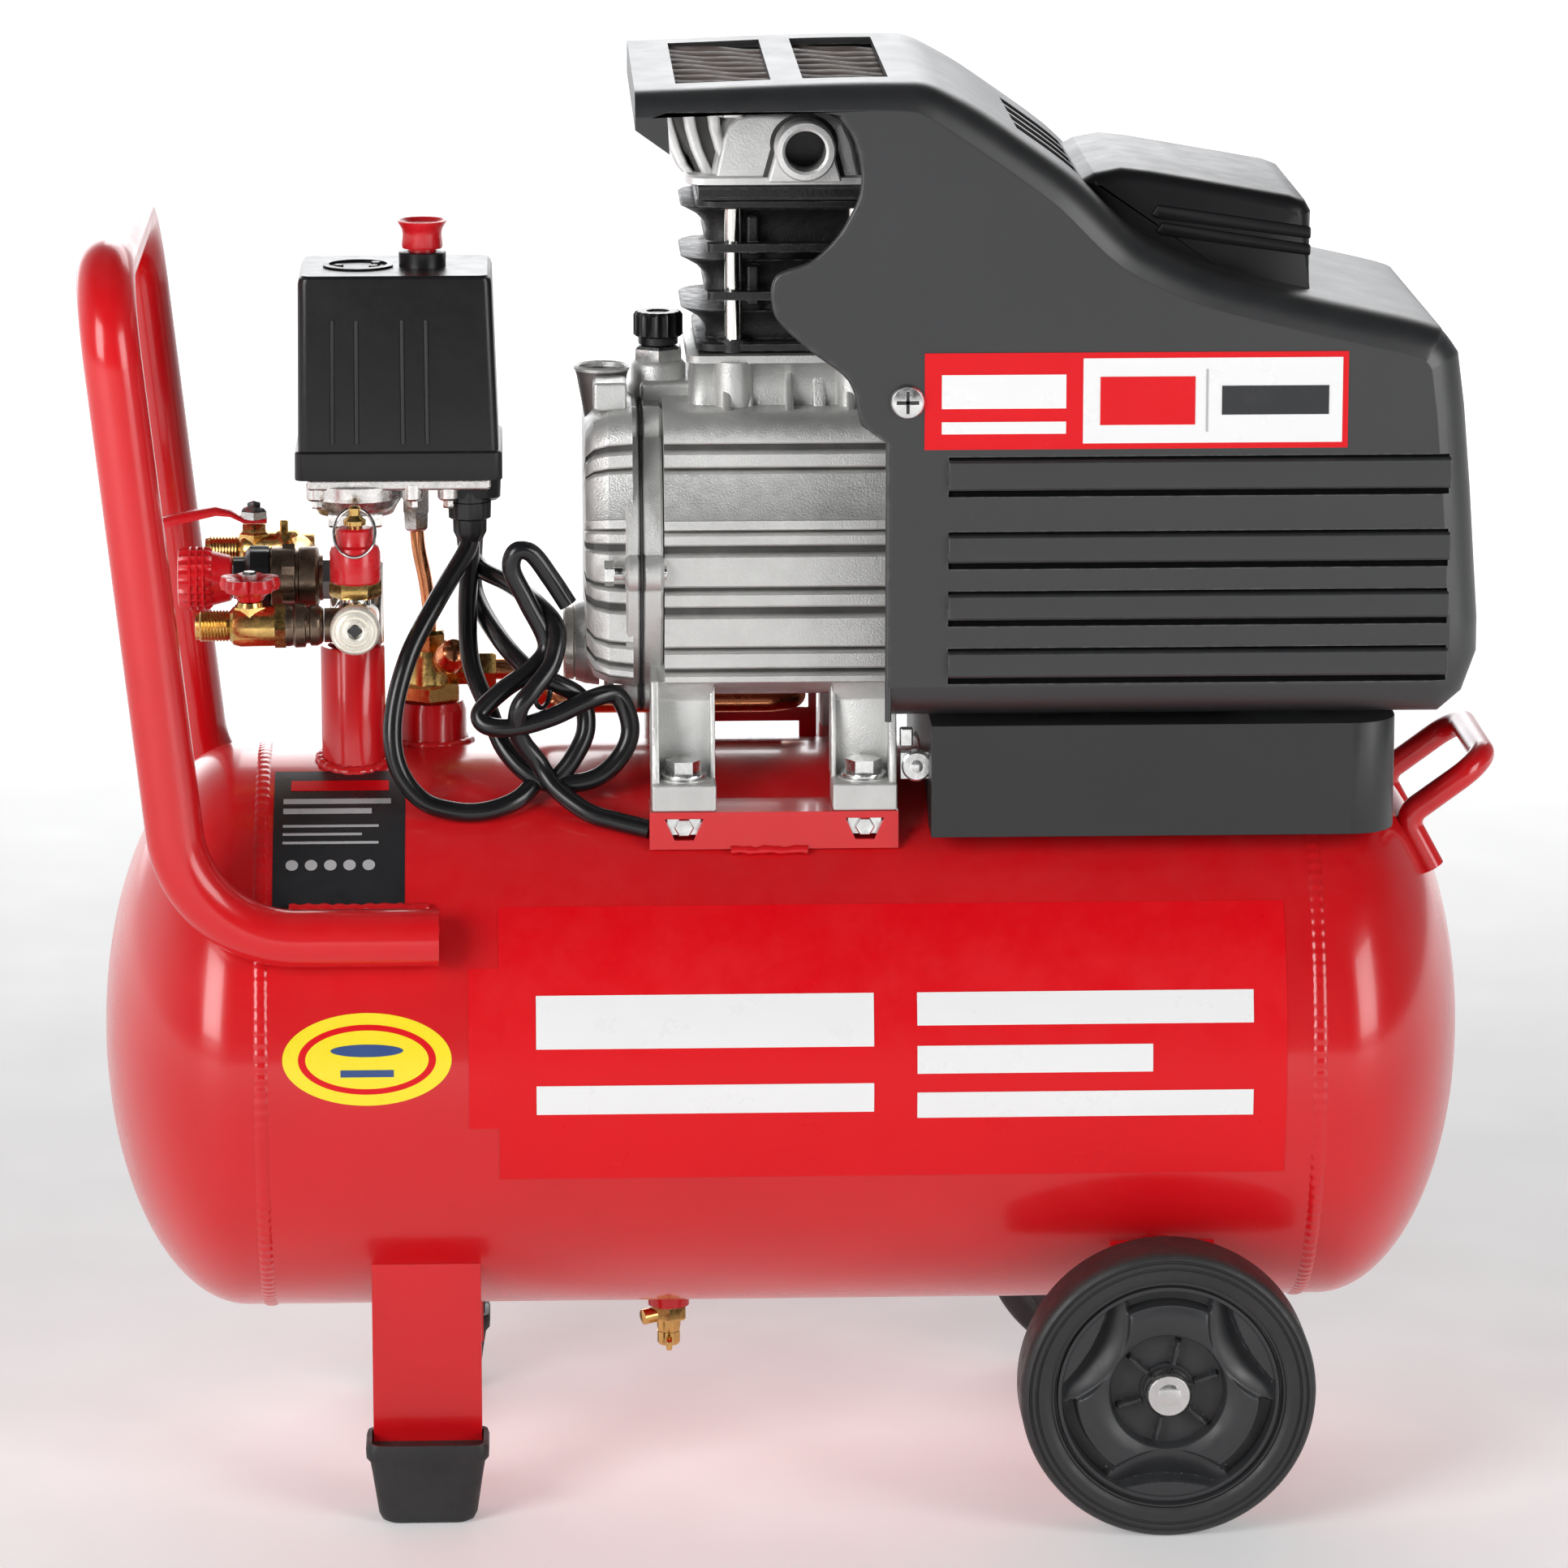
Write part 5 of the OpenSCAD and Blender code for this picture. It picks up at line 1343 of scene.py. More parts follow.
def switch_hood():
    """The switch's fluted plastic cover, with the neck of the pull knob."""
    body = stack(4, 6, HOOD_X, [(43.4, 34.2, 434), (43.5, 34.5, 434.8), (43.4, 34.4, 445.4),
                                (42.9, 33.9, 446), (42.0, 33.4, 446.3)])
    body += stack(4, 6, HOOD_X - 0.8, [(40.4, 32, 516.5), (39.9, 31.5, 518.6), (38.6, 30.2, 519.8)])
    shell = loft("switch_shell", body, BLACK, sharp=34)
    cut(shell, box("inside", (-200, -29, 430), (-123, 29, 516), BLACK, 0),
        lathe("hole", PULL, "z", solid((6.1, 510), (6.1, 530)), BLACK, 32))
    parts = [shell]
    for x in (-188.5, -178.5, -159.5, -149.5):
        for sy in (-1, 1):
            flute = [Vector((x + (x - HOOD_X) * 0.02 * (1 - s), sy * (33.0 - 1.15 * s), 449.5 + s * 52))
                     for s in (0, 0.25, 0.5, 0.75, 1)]
            parts.append(sweep("switch_flute", flute, 1.15, BLACK, 10))
    neck = [(6.1, 517), (10.2, 517), (9.8, 521), (10, 525.6), (9.4, 526), (6.1, 526)]
    parts.append(lathe("switch_neck", PULL, "z", neck, BLACK, 40, closed=True))
    fuse("switch_hood", parts, "black_plastic", node="switch_cover")


def switch_top():
    """Dial plate and pull knob on the hood."""
    dial = [(12.6, 519.4), (14.6, 519.6), (14.9, 520.7), (12.3, 520.9)]
    lathe("dial_ring", (-178, -1, 0), "z", dial, BLACK, 48, closed=True, slot="black_plastic")
    for a in (200, 320, 30):
        x, y = -178 + 8.5 * math.cos(math.radians(a)), -1 + 8.5 * math.sin(math.radians(a))
        lathe("dial_stud", (x, y, 0), "z", [(0, 519.4), (2.2, 519.4), (1.8, 521), (0, 521.2)], BLACK, 16,
              slot="black_plastic")
    knob = [(0, 471), (5.8, 471), (5.8, 527), (8.4, 527.4), (8.7, 528.4), (8.2, 533), (8.6, 535.6),
            (10.2, 538.2), (10.3, 539), (9.4, 539.2), (7.4, 537.6), (0, 537.2)]
    lathe("pull_knob_button", PULL, "z", knob, RED_PLASTIC, 48, body="pull_knob",
          slot="red_plastic", node="switch_knob")


def switch_base():
    """Die-cast base with its screw bosses, and the cable glands."""
    parts = [box("base_plate", (-200, -29, 428.6), (-123, 29, 434), NICKEL_CAST, 1.6),
             lathe("base_drum", (-180, -12, 0), "z", solid((16, 417), (18, 421), (20, 424), (20.4, 430)),
                   NICKEL_CAST, 48),
             lathe("base_nut", (-180, -18, 0), "z", solid((12.6, 412.5), (13.2, 413.4), (13.2, 418)),
                   NICKEL_CAST, 6, sharp=20)]
    for x, y in ((-196, -24), (-156, -25), (-141, -24), (-196, 24), (-141, 24)):
        parts.append(lathe("base_boss", (x, y, 0), "z", solid((3.6, 424), (4.4, 425), (4.6, 431)),
                           NICKEL_CAST, 20))
        parts.append(lathe("base_screw", (x, y, 0), "z", solid((2.2, 420.6), (2.5, 421.4), (2.5, 424.6)),
                           NICKEL_CAST, 6, sharp=20))
    nut = solid((4.4, 404.5), (5.6, 406), (5.8, 412), (6.2, 413), (6.2, 426))
    parts.append(lathe("unloader_nut", (-155, 12, 0), "z", nut, NICKEL_CAST, 6, sharp=20))
    fuse("switch_casting", parts, "machined_alloy", node="switch_base")
    gland = solid((4.8, 404.6), (6.0, 406.4), (7.3, 409), (7.4, 414), (9.2, 415), (9.4, 421.6),
                  (8.8, 422), (8.8, 436))
    for i, y in enumerate((-14, 14)):
        lathe("gland_nut_%d" % i, (-132, y, 0), "z", gland, BLACK, 80, ripple=ribbed(0.05, 10),
              slot="black_plastic", sharp=50, node=None if i else "cable_glands")
    saddle = [(rounded(11.5, 17, 5, 6, -132, 0), 422), (rounded(13, 22, 6, 6, -132, 0), 424),
              (rounded(13.4, 25, 6, 6, -132, 0), 434.4)]
    loft("gland_saddle", saddle, BLACK, slot="black_plastic", sharp=45)


switch_hood()
switch_top()
switch_base()

# Outlet fittings ------------------------------------------------------------------------------

MANIFOLD_X = -180


def thread(x0, length, r, pitch=1.34):
    """A thread's profile of radius and length."""
    profile = []
    turns = int(length / pitch)
    for k in range(turns):
        a = x0 + k * pitch
        profile += [(r - 0.7, a), (r, a + pitch * 0.35), (r, a + pitch * 0.6)]
    return profile + [(r - 0.7, x0 + turns * pitch)]


def manifold():
    """Plated post on the riser pipe, with the arms that carry the fittings and the front plug."""
    post = solid((9.6, 361), (11.4, 362.4), (11.4, 396), (8.6, 398.6), (8.6, 415))
    parts = [lathe("manifold_post", (MANIFOLD_X, -18, 0), "z", post, NICKEL, 48),
             lathe("front_arm", (MANIFOLD_X, 0, 375), "-y", solid((9.6, 18), (9.6, 55), (9.0, 58)), NICKEL,
                   48),
             lathe("valve_arm", (MANIFOLD_X, -40, 0), "z", solid((7.4, 375), (7.4, 380), (6.4, 382),
                                                                 (6.4, 386)), NICKEL, 40),
             lathe("regulator_arm", REGULATOR, "-x", solid((8.6, 180), (8.6, 190), (9.6, 190.4),
                                                           (9.6, 194)), NICKEL, 6, sharp=20),
             lathe("cock_arm", FRONT_PIPE, "-x", solid((9.2, 180), (9.2, 185), (7.2, 186), (7.2, 193)),
                   BRONZE, 40)]
    fuse("manifold_body", parts, "chrome", node="manifold")
    plug = solid((3.2, 59.4), (3.2, 61.6), (4.0, 61.9), (5.2, 61.6), (5.5, 61.0), (6.2, 61.0), (6.6, 61.6),
                 (8.0, 61.2), (8.4, 60.6), (9.0, 60.6), (9.4, 60.9), (10.2, 60.0), (10.4, 59), (10.4, 55))
    lathe("end_plug", (MANIFOLD_X, 0, 375), "-y", plug, WHITE_METAL, 56, slot="chrome")
    # A dark prism in the plug's socket is painted shade
    lathe("plug_socket_shade", (MANIFOLD_X, 0, 375), "-y", solid((3.2, 59.6), (3.2, 60.6)), HOLE_SHADE, 4,
          slot="chrome", sharp=20)


def regulator():
    """Bronze regulator with a black bonnet and the ribbed red knob."""
    body = solid((9.6, 194), (9.8, 195.4), (12.4, 196), (13.2, 197), (13.2, 203.8), (12.0, 204.4),
                 (12.0, 205.4), (13.2, 206), (13.4, 215.4), (12.4, 216.6))
    parts = [lathe("regulator_drum", REGULATOR, "-x", body, BRONZE, 56),
             lathe("rear_elbow", (-205, 0, 395), "y", solid((6.6, -16), (6.6, 6), (7.4, 8), (7.4, 17)),
                   BRASS, 40)]
    hexes = solid((14.6, 205.8), (14.6, 211))
    parts.append(lathe("regulator_hex", REGULATOR, "-x", hexes, BRONZE, 6, sharp=20, turn=0.5))
    bonnet = solid((13.6, 216.6), (13.8, 218), (13.8, 224.4), (11.6, 226.4), (9, 227), (9, 231.6))
    parts.append(lathe("regulator_bonnet", REGULATOR, "-x", bonnet, BLACK, 96, ripple=ribbed(0.035, 12),
                       sharp=50))
    fuse("regulator", parts, "bronze", node="regulator_body")
    knob = solid((8.4, 232), (9.6, 233), (11.4, 240), (11.6, 241))
    cap = solid((12.2, 240.6), (13.2, 242), (13.4, 252.6), (12.4, 254.6), (10.6, 255))
    parts = [lathe("knob_cone", REGULATOR, "-x", knob, RED_PLASTIC, 48, body="pressure_knob"),
             lathe("knob_grip", REGULATOR, "-x", cap, RED_PLASTIC, 240, ripple=ribbed(0.07, 20, 0.5),
                   body="pressure_knob", sharp=50)]
    for k, x in enumerate((243.4, 246.2, 249)):
        parts.append(lathe("knob_ring", REGULATOR, "-x",
                           [(12.6, x), (13.4, x + 0.5), (13.4, x + 1.1), (12.6, x + 1.6)], RED_PLASTIC, 120,
                           closed=True, body="pressure_knob"))
    fuse("pressure_dial", parts, "red_plastic", node="regulator_knob")


def front_cock():
    """The lower outlet: a hose tail with a threaded end and a star-shaped wing."""
    tail = [(0, 209), (8.6, 209), (8.8, 228), (8.0, 231), (6.7, 232)]
    tailpiece = solid((6.8, 193.4), (7.8, 194.4), (8.6, 196), (8.6, 198.6), (7.6, 199.2), (7.6, 200.4),
                      (9.2, 201), (9.4, 205), (8.4, 206), (8.8, 207.4), (8.8, 209.4))
    parts = [lathe("cock_tailpiece", FRONT_PIPE, "-x", tailpiece, BRONZE, 48),
             lathe("cock_body", FRONT_PIPE, "-x", tail + thread(233, 13.2, 6.6)
                   + [(5.6, 246.8), (3.2, 247), (3.2, 236), (0, 236)], BRASS, 48),
             lathe("cock_hex", FRONT_PIPE, "-x", solid((9.9, 209), (9.9, 213.6)), BRASS, 6, sharp=20),
             lathe("cock_post", WING, "z", solid((7.6, 376), (7.2, 383.4)), BRASS, 6, sharp=20),
             lathe("cock_gland", WING, "z", solid((5.8, 383), (5.2, 385.2)), BRASS, 32)]
    fuse("front_cock_body", parts, "brass", node="front_cock")
    star = lambda t: 0.72 + 0.28 * abs(math.cos(2.5 * t)) ** 0.7
    wing = [(0, 385.6), (5.4, 385.6), (7.2, 388.2), (12.6, 390.4), (13.4, 392.4), (12.4, 395.6), (8.0, 395),
            (4.4, 392.8), (0, 392.6)]
    parts = [lathe("wing_star", WING, "z", wing, RED_PLASTIC, 120, ripple=star, body="front_wing",
                   sharp=50),
             lathe("wing_screw", WING, "z", [(0, 392), (3.4, 392), (3.4, 397), (2.6, 398), (0, 397.8)],
                   ZINC, 6, body="front_wing", sharp=20)]
    fuse("front_wing_star", parts, "red_plastic", node="front_cock_wing")


def rear_cock():
    """The upper outlet behind, with its bent lever."""
    tail = [(0, 198.4), (7, 198.4), (7.6, 199), (7.6, 205), (9.2, 206), (9.2, 214), (8.2, 215), (8.4, 228),
            (7.4, 229.4), (6.6, 230)]
    parts = [lathe("rear_cock_tube", REAR_PIPE, "-x", tail + thread(231, 13.2, 6.6)
                   + [(5.6, 244.8), (3.2, 245), (3.2, 236), (0, 236)], BRASS, 48),
             lathe("rear_cock_post", LEVER, "z", solid((7.4, 396), (7.2, 403), (5.6, 404), (5.6, 407)),
                   BRASS, 6, sharp=20),
             box("rear_cock_ear", (-213, 12, 399), (-209.5, 20, 409), BRASS, 0.8)]
    fuse("rear_cock_body", parts, "brass", node="rear_cock")
    lever = [(-218.4, 408), (-228, 408), (-234, 411.5), (-240, 412.8), (-258, 409.5), (-266.5, 407.4)]
    rows = []
    for i, (x, z) in enumerate(lever):
        half = (5.5, 6, 5.5, 4.6, 5.4, 5.0)[i]
        sag = (0, 0, 0.8, 1.8, 2.4, 2.4)[i]
        rows.append([at(x, 16 - half, z - sag), at(x, 16 - half, z + 1.2 - sag * 0.5),
                     at(x, 16 - half * 0.5, z + 1.8), at(x, 16 + half * 0.5, z + 1.8),
                     at(x, 16 + half, z + 1.2 - sag * 0.5), at(x, 16 + half, z - sag),
                     at(x, 16 + half * 0.6, z), at(x, 16 - half * 0.6, z)])
    arm = grid("lever_arm", rows, RED_PLASTIC, closed_cols=True, caps=True, body="rear_lever", sharp=50)
    soften(arm, 0.35)
    nut = lathe("lever_nut", LEVER, "z", [(0, 409.4), (6.2, 409.4), (6.2, 412.6), (4.8, 414.2),
                                          (3.2, 414.4), (3.2, 416.2), (0, 417)], STEEL, 6,
                body="rear_lever", sharp=20)
    fuse("rear_lever_arm", [arm, nut], "red_plastic", node="rear_cock_lever")


def safety_valve():
    """Brass relief valve with a red drum, its pin and the pull ring."""
    x, y = MANIFOLD_X, -40
    hexagon = solid((6.4, 383), (6.4, 385.6), (10.4, 386), (11, 387), (11, 391.6), (10.4, 392.6))
    drum = solid((10.0, 392.2), (10.6, 393), (10.6, 405), (9.8, 407.4), (8.2, 408.4), (7.7, 410),
                 (7.6, 414.4), (6.8, 415.4), (3.4, 415.4), (3.4, 405))
    parts = [lathe("valve_hex", (x, y, 0), "z", hexagon, BRASS, 6, sharp=20, turn=0.5),
             lathe("valve_drum", (x, y, 0), "z", drum, RED_PLASTIC, 56)]
    fuse("relief_valve", parts, "red_plastic", node="safety_valve")
    pin = solid((3.0, 400), (3.0, 416), (4.6, 416.6), (4.8, 418.4), (3.4, 419.6), (2.4, 420.6),
                (2.6, 423.6), (1.8, 424.6))
    stem = lathe("relief_pin", (x, y, 0), "z", pin, BRASS, 32, body="relief_stem")
    fuse("relief_pull", [stem], "brass", node="safety_stem")
    turns = [TAU * k / 40 for k in range(40)]
    loop = [Vector((x + 8.6 * math.cos(a), y - 5.4 + 5.6 * math.sin(a), 414 + 9.4 * math.sin(a)))
            for a in turns]
    sweep("relief_ring", loop, 0.7, ZINC, 10, closed=True, body="relief_stem", slot="zinc_steel")


def check_valve():
    """Brass check valve on its boss, with the unloader's cone."""
    x, y = CHECK
    body = [(3.6, 330.2), (13.2, 330.2), (14.4, 331.4), (14.4, 336.8), (13.4, 338), (5.2, 338), (5.2, 332.2),
            (3.6, 332.2)]
    drum = [(5.2, 337.6), (10.6, 337.6), (10.2, 345), (9, 349.4), (8, 352), (0, 352), (0, 343.2),
            (5.2, 343.2)]
    top = solid((7.4, 351.6), (7.4, 359), (6.2, 360.6), (3.2, 361))
    arm = solid((6.8, x + 7), (6.8, x + 16), (8.4, x + 17), (9, x + 18), (9, x + 27), (8.2, x + 28.4),
                (4.6, x + 28.6))
    parts = [lathe("check_hex", (x, y, 0), "z", body, BRASS, 6, closed=True, sharp=20),
             lathe("check_drum", (x, y, 0), "z", drum, BRASS, 40, closed=True),
             lathe("check_top", (x, y, 0), "z", top, BRASS, 6, sharp=20),
             lathe("check_arm", (0, y, 343), "x", arm, BRASS, 6, sharp=20)]
    fuse("check_valve", parts, "brass", node="check_valve_body")
    cone = [(0, 0), (6.4, 0), (6.8, 1), (6.8, 8), (5.2, 11.6), (3, 13), (0, 13.2)]
    lathe("cone_plug", (x + 8, y - 11, 349), (0.25, -0.8, 0.55), cone, COPPER, 32, slot="copper")
    carry_over("check_poppet", RUBBER, 0.2)


def tubes():
    points = [(7.8, 42, 575), (7.8, 86, 575), (7.8, 86, 325), (7.8, 30, 325), (-104, 30, 325),
              (-104, 16, 343), (-122, 16, 343)]
    sweep("delivery_pipe", round_path(points, [14, 14, 14, 10, 6], 8), 4.5, COPPER, 28, slot="copper",
          node="delivery_tube")
    lathe("delivery_nut", INTAKE, "y", solid((8.4, 61.6), (8.4, 70), (6.4, 72)), BRASS, 6,
          slot="brass", sharp=20)
    path = flow([(-150, 16, 359), (-150, 15.6, 370), (-151.6, 14.4, 383), (-154, 12.6, 396),
                 (-155, 12, 407)], 6)
    sweep("unloader_pipe", path, 3, COPPER, 20, slot="copper", node="unloader_tube")


def drain():
    """The cock under the tank and its two-eared tap."""
    parts = [lathe("drain_hex", TAP, "z", solid((8.2, 63.8), (8.4, 63), (8.4, 58.4), (7.6, 57.4)), BRASS, 6,
                   sharp=20),
             lathe("drain_barrel", TAP, "z", solid((5.2, 58), (5.2, 54.4), (4.8, 52.1)), BRASS, 32),
             lathe("drain_spout", (-49, 0, 60.5), (-0.9, -0.4, -0.1),
                   solid((3.4, 4), (3.4, 12.5), (2.2, 13)), BRASS, 24)]
    fuse("drain_cock_body", parts, "brass", node="drain_cock")
    parts = [lathe("tap_barrel", TAP, "z", [(2.4, 51.9), (5, 51.9), (5, 47), (4.4, 46), (2.4, 46)],
                   BRASS, 32, closed=True, body="drain_tap")]
    for sy in (-1, 1):
        ear = [(sy * 3.5, 50.8), (sy * 8.6, 51.2), (sy * 11, 49.6), (sy * 11, 46.4), (sy * 8.4, 45),
               (sy * 3.5, 46.2)]
        parts.append(slab("tap_ear", ear, -50.3, -47.7, BRASS, "yz", 0.6, body="drain_tap"))
    fuse("drain_tap_wing", parts, "brass", node="drain_wing")


def cords():
    """The motor lead and the power cord, gathered in loops beside the pump."""
    lead = flow([(-132, -14, 406), (-134, -18, 400), (-146, -36, 383), (-158, -50, 362), (-164.5, -58, 338),
                 (-163, -62, 318), (-153, -65, 304), (-139, -66, 299.2), (-126, -66, 299.2),
                 (-113, -62, 303), (-104, -54, 310)], 7)
    sweep("motor_lead", lead, 4, SHEATH, 20, slot="cable", node="cables")
    cord = flow([(-132, 14, 406), (-132, 10, 396), (-133.4, -8, 374), (-132, -26, 354), (-125, -40, 338),
                 (-118, -49, 322), (-106, -55, 311), (-92, -57, 308.5), (-78, -57, 312), (-68, -54, 322),
                 (-65.5, -52, 333), (-71, -51, 345), (-82, -56, 344.5), (-98, -60, 338), (-114, -62, 334),
                 (-125.5, -60, 334.5), (-128, -57, 339.5), (-119, -54, 348), (-107, -50, 356),
                 (-100, -46, 366), (-108, -46, 384), (-114.5, -47, 398), (-112.5, -48, 406),
                 (-106, -47, 405), (-98, -46, 394), (-91, -46, 383)], 7)
    sweep("power_cord", cord, 4, SHEATH, 20, slot="cable")
    third = flow([(-134, 18, 406), (-133.5, 19, 396), (-128, 12, 388), (-115, -10, 385), (-104, -34, 381),
                  (-96, -48, 373), (-98, -56, 360), (-106, -62, 350), (-112, -64, 342), (-112, -60, 330),
                  (-104, -58, 318), (-97, -62, 308), (-84, -68, 299), (-72, -71, 295.6), (-58, -74, 292.6)],
                 7)
    sweep("motor_cord", third, 4, SHEATH, 20, slot="cable")
    fourth = flow([(-130, 20, 406), (-131, 21, 390), (-130, 10, 376), (-119, -28, 364), (-106, -48, 354),
                   (-96, -50, 350), (-86, -48, 343), (-84, -50, 330), (-90, -54, 318), (-97, -56, 310)], 7)
    sweep("back_cord", fourth, 4, SHEATH, 20, slot="cable")
    loop = [Vector((-102 + 3.2 * math.cos(a), -58 + 6.4 * math.cos(a), 348 + 6.4 * math.sin(a)))
            for a in [TAU * k / 28 for k in range(28)]]
    sweep("cord_tie", loop, 1.1, SHEATH, 10, closed=True, slot="cable")


manifold()
regulator()
front_cock()
rear_cock()
safety_valve()
check_valve()
tubes()
drain()
cords()

# Inside parts keep their CAD shapes -----------------------------------------------------------

for node, finish in (("piston", MACHINED), ("piston_rings", STEEL), ("wrist_pin", STEEL),
                     ("connecting_rod", MACHINED), ("crankshaft", STEEL), ("bearings", NICKEL),
                     ("rotor_core", STEEL), ("stator_core", STEEL), ("stator_windings", WINDING),
                     ("end_shield", CAST), ("cooling_fan", BLACK), ("switch_contacts", WINDING)):
    carry_over(node, finish, 0.3)

# Stickers -------------------------------------------------------------------------------------

def tank_patch(name, x0, x1, a0, a1, finish, lift=0.25):
    """A thin film on the front of the tank, between two places along it and two angles in degrees."""
    rows = []
    steps_x, steps_a = 24, 16
    for radius in (TANK_R + lift, TANK_R + lift - 0.2):
        for i in range(steps_a + 1):
            a = math.radians(a0 + (a1 - a0) * i / steps_a)
            rows.append([at(x0 + (x1 - x0) * j / steps_x, -radius * math.cos(a),
                            TANK_Z + radius * math.sin(a)) for j in range(steps_x + 1)])
    half = steps_a + 1
    ordered = rows[:half] + rows[half:][::-1]
    return grid(name, ordered, finish, closed_rows=True, slot="red_paint", sharp=60)


def tank_oval(name, cx, angle, rx, rz, finish, lift):
    """An oval film on the front of the tank."""
    steps, rings = 72, 10
    rows = []
    for radius, order in ((TANK_R + lift, range(rings, -1, -1)), (TANK_R + lift - 0.2, range(0, rings + 1))):
        for k in order:
            share = max(k, 0.02) / rings
            rows.append([at(cx + rx * share * math.cos(TAU * j / steps),
                            -radius * math.cos(math.radians(angle)
                                               + rz * share * math.sin(TAU * j / steps) / TANK_R),
                            TANK_Z + radius * math.sin(math.radians(angle)
                                                       + rz * share * math.sin(TAU * j / steps) / TANK_R))
                         for j in range(steps)])
    return grid(name, rows, finish, closed_cols=True, closed_rows=True, slot="red_paint", sharp=60)


def stickers():
    """Plain printed films on the tank and on the shroud's side."""
    tank_patch("tank_panel", -121.5, 206, -18.8, 37.1, RED_PRINT)
    tank_patch("under_label", -134, -118, -7.5, 24.5, RED_PRINT, 0.12)
    for k, (x0, x1, a0, a1) in enumerate(((-106, 34, 8.5, 19), (-106, 34, -4.6, 1.2), (52, 192, 12.5, 19),
                                          (52, 150, 3, 8.5), (52, 192, -6, -0.8))):
        tank_patch("tank_bar_%d" % k, x0, x1, a0, a1, WHITE_PRINT, 0.5)
    tank_oval("oval_ground", -176, 6.8, 35, 19.4, YELLOW_PRINT, 0.25)
    tank_oval("oval_band", -176, 6.8, 28.5, 14.6, RED_PRINT, 0.4)
    tank_oval("oval_centre", -176, 6.8, 25.5, 12.2, YELLOW_PRINT, 0.55)
    tank_oval("oval_bar", -176, 8.6, 15, 2.6, BLUE_PRINT, 0.7)
    tank_patch("oval_line", -187, -165, 3.4, 4.8, BLUE_PRINT, 0.7)
    tank_patch("data_plate", -215, -160, 37, 75, BLACK_PRINT)
    tank_patch("data_stripe", -208, -167, 67.5, 71, RED_PRINT, 0.5)
    for k, (a, x1) in enumerate(((63.2, -166), (60.2, -174), (56.4, -171), (54.2, -178), (52, -171))):
        tank_patch("data_line_%d" % k, -211, x1, a, a + (1.5 if k < 2 else 0.6), GREY_PRINT, 0.5)
    for k in range(5):
        tank_oval("data_dot_%d" % k, -207 + 8 * k, 46.8, 2.6, 2.6, GREY_PRINT, 0.5)
    y = -SHROUD_Y
    box("shroud_panel", (55, y - 0.45, 457), (229, y + 0.2, 497), RED_PRINT, 0, slot="red_plastic")
    box("shroud_card", (120, y - 0.7, 459.4), (226.6, y, 494.6), WHITE_PRINT, 0, slot="red_plastic")
    box("card_block", (127, y - 0.95, 467), (166, y - 0.2, 487), RED_PRINT, 0, slot="red_plastic")
    box("card_line", (170.5, y - 0.95, 464), (171.3, y - 0.2, 490), GREY_PRINT, 0, slot="red_plastic")
    box("card_bar", (177, y - 0.95, 471), (221, y - 0.2, 483), BLACK_PRINT, 0, slot="red_plastic")
    box("panel_bar", (62, y - 0.7, 474), (113, y - 0.2, 488), WHITE_PRINT, 0, slot="red_plastic")
    box("panel_line", (62, y - 0.7, 463.5), (113, y - 0.2, 468.5), WHITE_PRINT, 0, slot="red_plastic")


stickers()

# Stage ----------------------------------------------------------------------------------------

def area_light(name, place, target, size, power, colour=(1, 1, 1)):
    """A rectangular light that faces a target."""
    light = bpy.data.lights.new(name, "AREA")
    light.shape = "RECTANGLE"
    light.size, light.size_y = size
    light.energy = power
    light.color = colour
    obj = bpy.data.objects.new(name, light)
    bpy.context.scene.collection.objects.link(obj)
    obj.location = place
    obj.rotation_euler = (Vector(target) - Vector(place)).to_track_quat("-Z", "Y").to_euler()


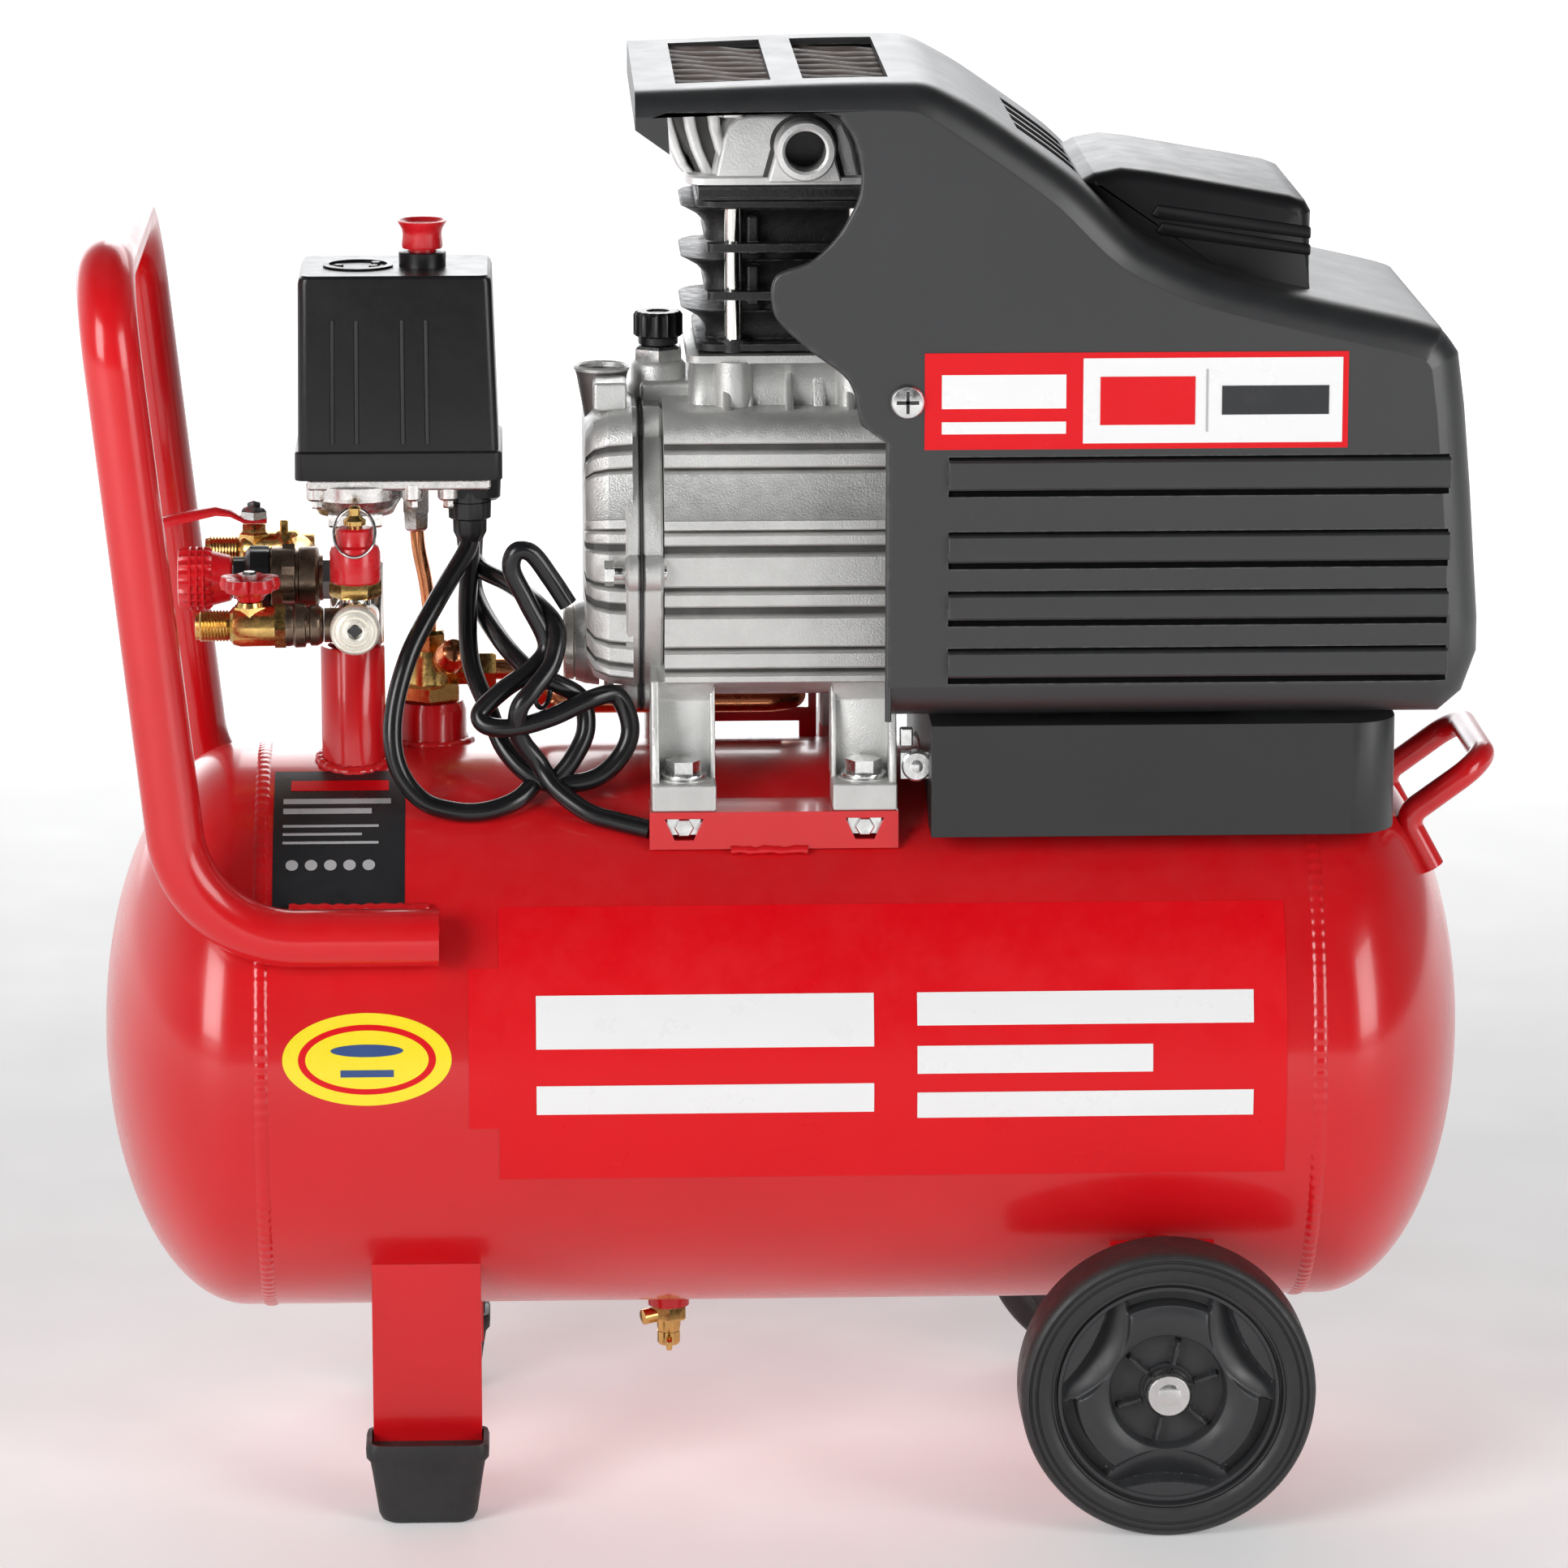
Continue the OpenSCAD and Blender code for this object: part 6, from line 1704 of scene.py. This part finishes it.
def studio_world(tree):
    """White wall behind, under a dim ceiling, with a darker panel behind on the right."""
    n = Nodes(tree)
    direction = n.place("Generated")
    ceiling = n.remap(n.part(direction, "Z"), 0.25, 0.75, 1.0, 0.16)
    wall = n.remap(n.part(direction, "Y"), 0.80, 0.93, 1.0, 3.0)
    room = n.remap(n.part(direction, "Y"), -0.6, 0.5, 0.22, 1.0)
    panel = n.remap(n.part(direction, "X"), 0.10, 0.25, 1.0, 0.3)
    seen = n.new("Mix")
    n.link(n.new("LightPath").outputs["Is Camera Ray"], seen.inputs["Factor"])
    n.link(n.multiply(ceiling, wall, room, panel), seen.inputs["A"])
    seen.inputs["B"].default_value = 1.0
    background = tree.nodes["Background"]
    n.link(seen.outputs["Result"], background.inputs["Strength"])
    background.inputs["Color"].default_value = (0.97, 0.98, 1.0, 1)


def glow_with_distance(tree):
    """The floor glows softly away from the object, so that it stays pale to its far edge."""
    n = Nodes(tree)
    reach = n.vector_math("LENGTH", n.place())
    shader = tree.nodes["Principled BSDF"]
    shader.inputs["Emission Color"].default_value = (1, 1, 1, 1)
    n.link(n.remap(reach, 0.3, 3.0, 0.22, 0.85, "SMOOTHSTEP"), shader.inputs["Emission Strength"])


def stage():
    """Floor, room and the three lights."""
    size = 6.0
    mesh = bpy.data.meshes.new("floor")
    mesh.from_pydata([(-size, -size, 0), (size, -size, 0), (size, size, 0), (-size, size, 0)], [],
                     [(0, 1, 2, 3)])
    floor = bpy.data.objects.new("floor", mesh)
    bpy.context.scene.collection.objects.link(floor)
    finish = material("pale_floor", (0.88, 0.88, 0.88), 0.7, variation=0.01, patch=2,
                      grains=((40, 0.02, 0.001),), specular=0.15)
    glow_with_distance(finish.node_tree)
    mesh.materials.append(finish)
    world = bpy.context.scene.world or bpy.data.worlds.new("world")
    bpy.context.scene.world = world
    world.use_nodes = True
    studio_world(world.node_tree)
    middle = (0, 0, 0.3)
    area_light("key_left", (-2.4, -2.6, 1.5), middle, (1.6, 2.0), 78)
    area_light("fill_right", (2.6, -2.4, 1.3), middle, (1.6, 2.0), 58)
    area_light("rear", (0.6, 2.8, 1.9), middle, (2.2, 1.2), 22)
    bpy.context.scene.view_settings.view_transform = "Standard"


def camera():
    """Looks from the front, a little from the left and above, through a long lens."""
    distance = 3028.8
    lift, turn = math.radians(12.53), math.radians(-2.21)
    target = at(1.23, 0, 295.0)
    away = Vector((math.sin(turn) * math.cos(lift), -math.cos(turn) * math.cos(lift), math.sin(lift)))
    lens = bpy.data.cameras.new("camera")
    lens.sensor_width = 36
    lens.lens = 162.34
    obj = bpy.data.objects.new("camera", lens)
    bpy.context.scene.collection.objects.link(obj)
    obj.location = target + away * distance * MM
    obj.rotation_euler = (-away).to_track_quat("-Z", "Y").to_euler()
    bpy.context.scene.camera = obj


stage()
camera()
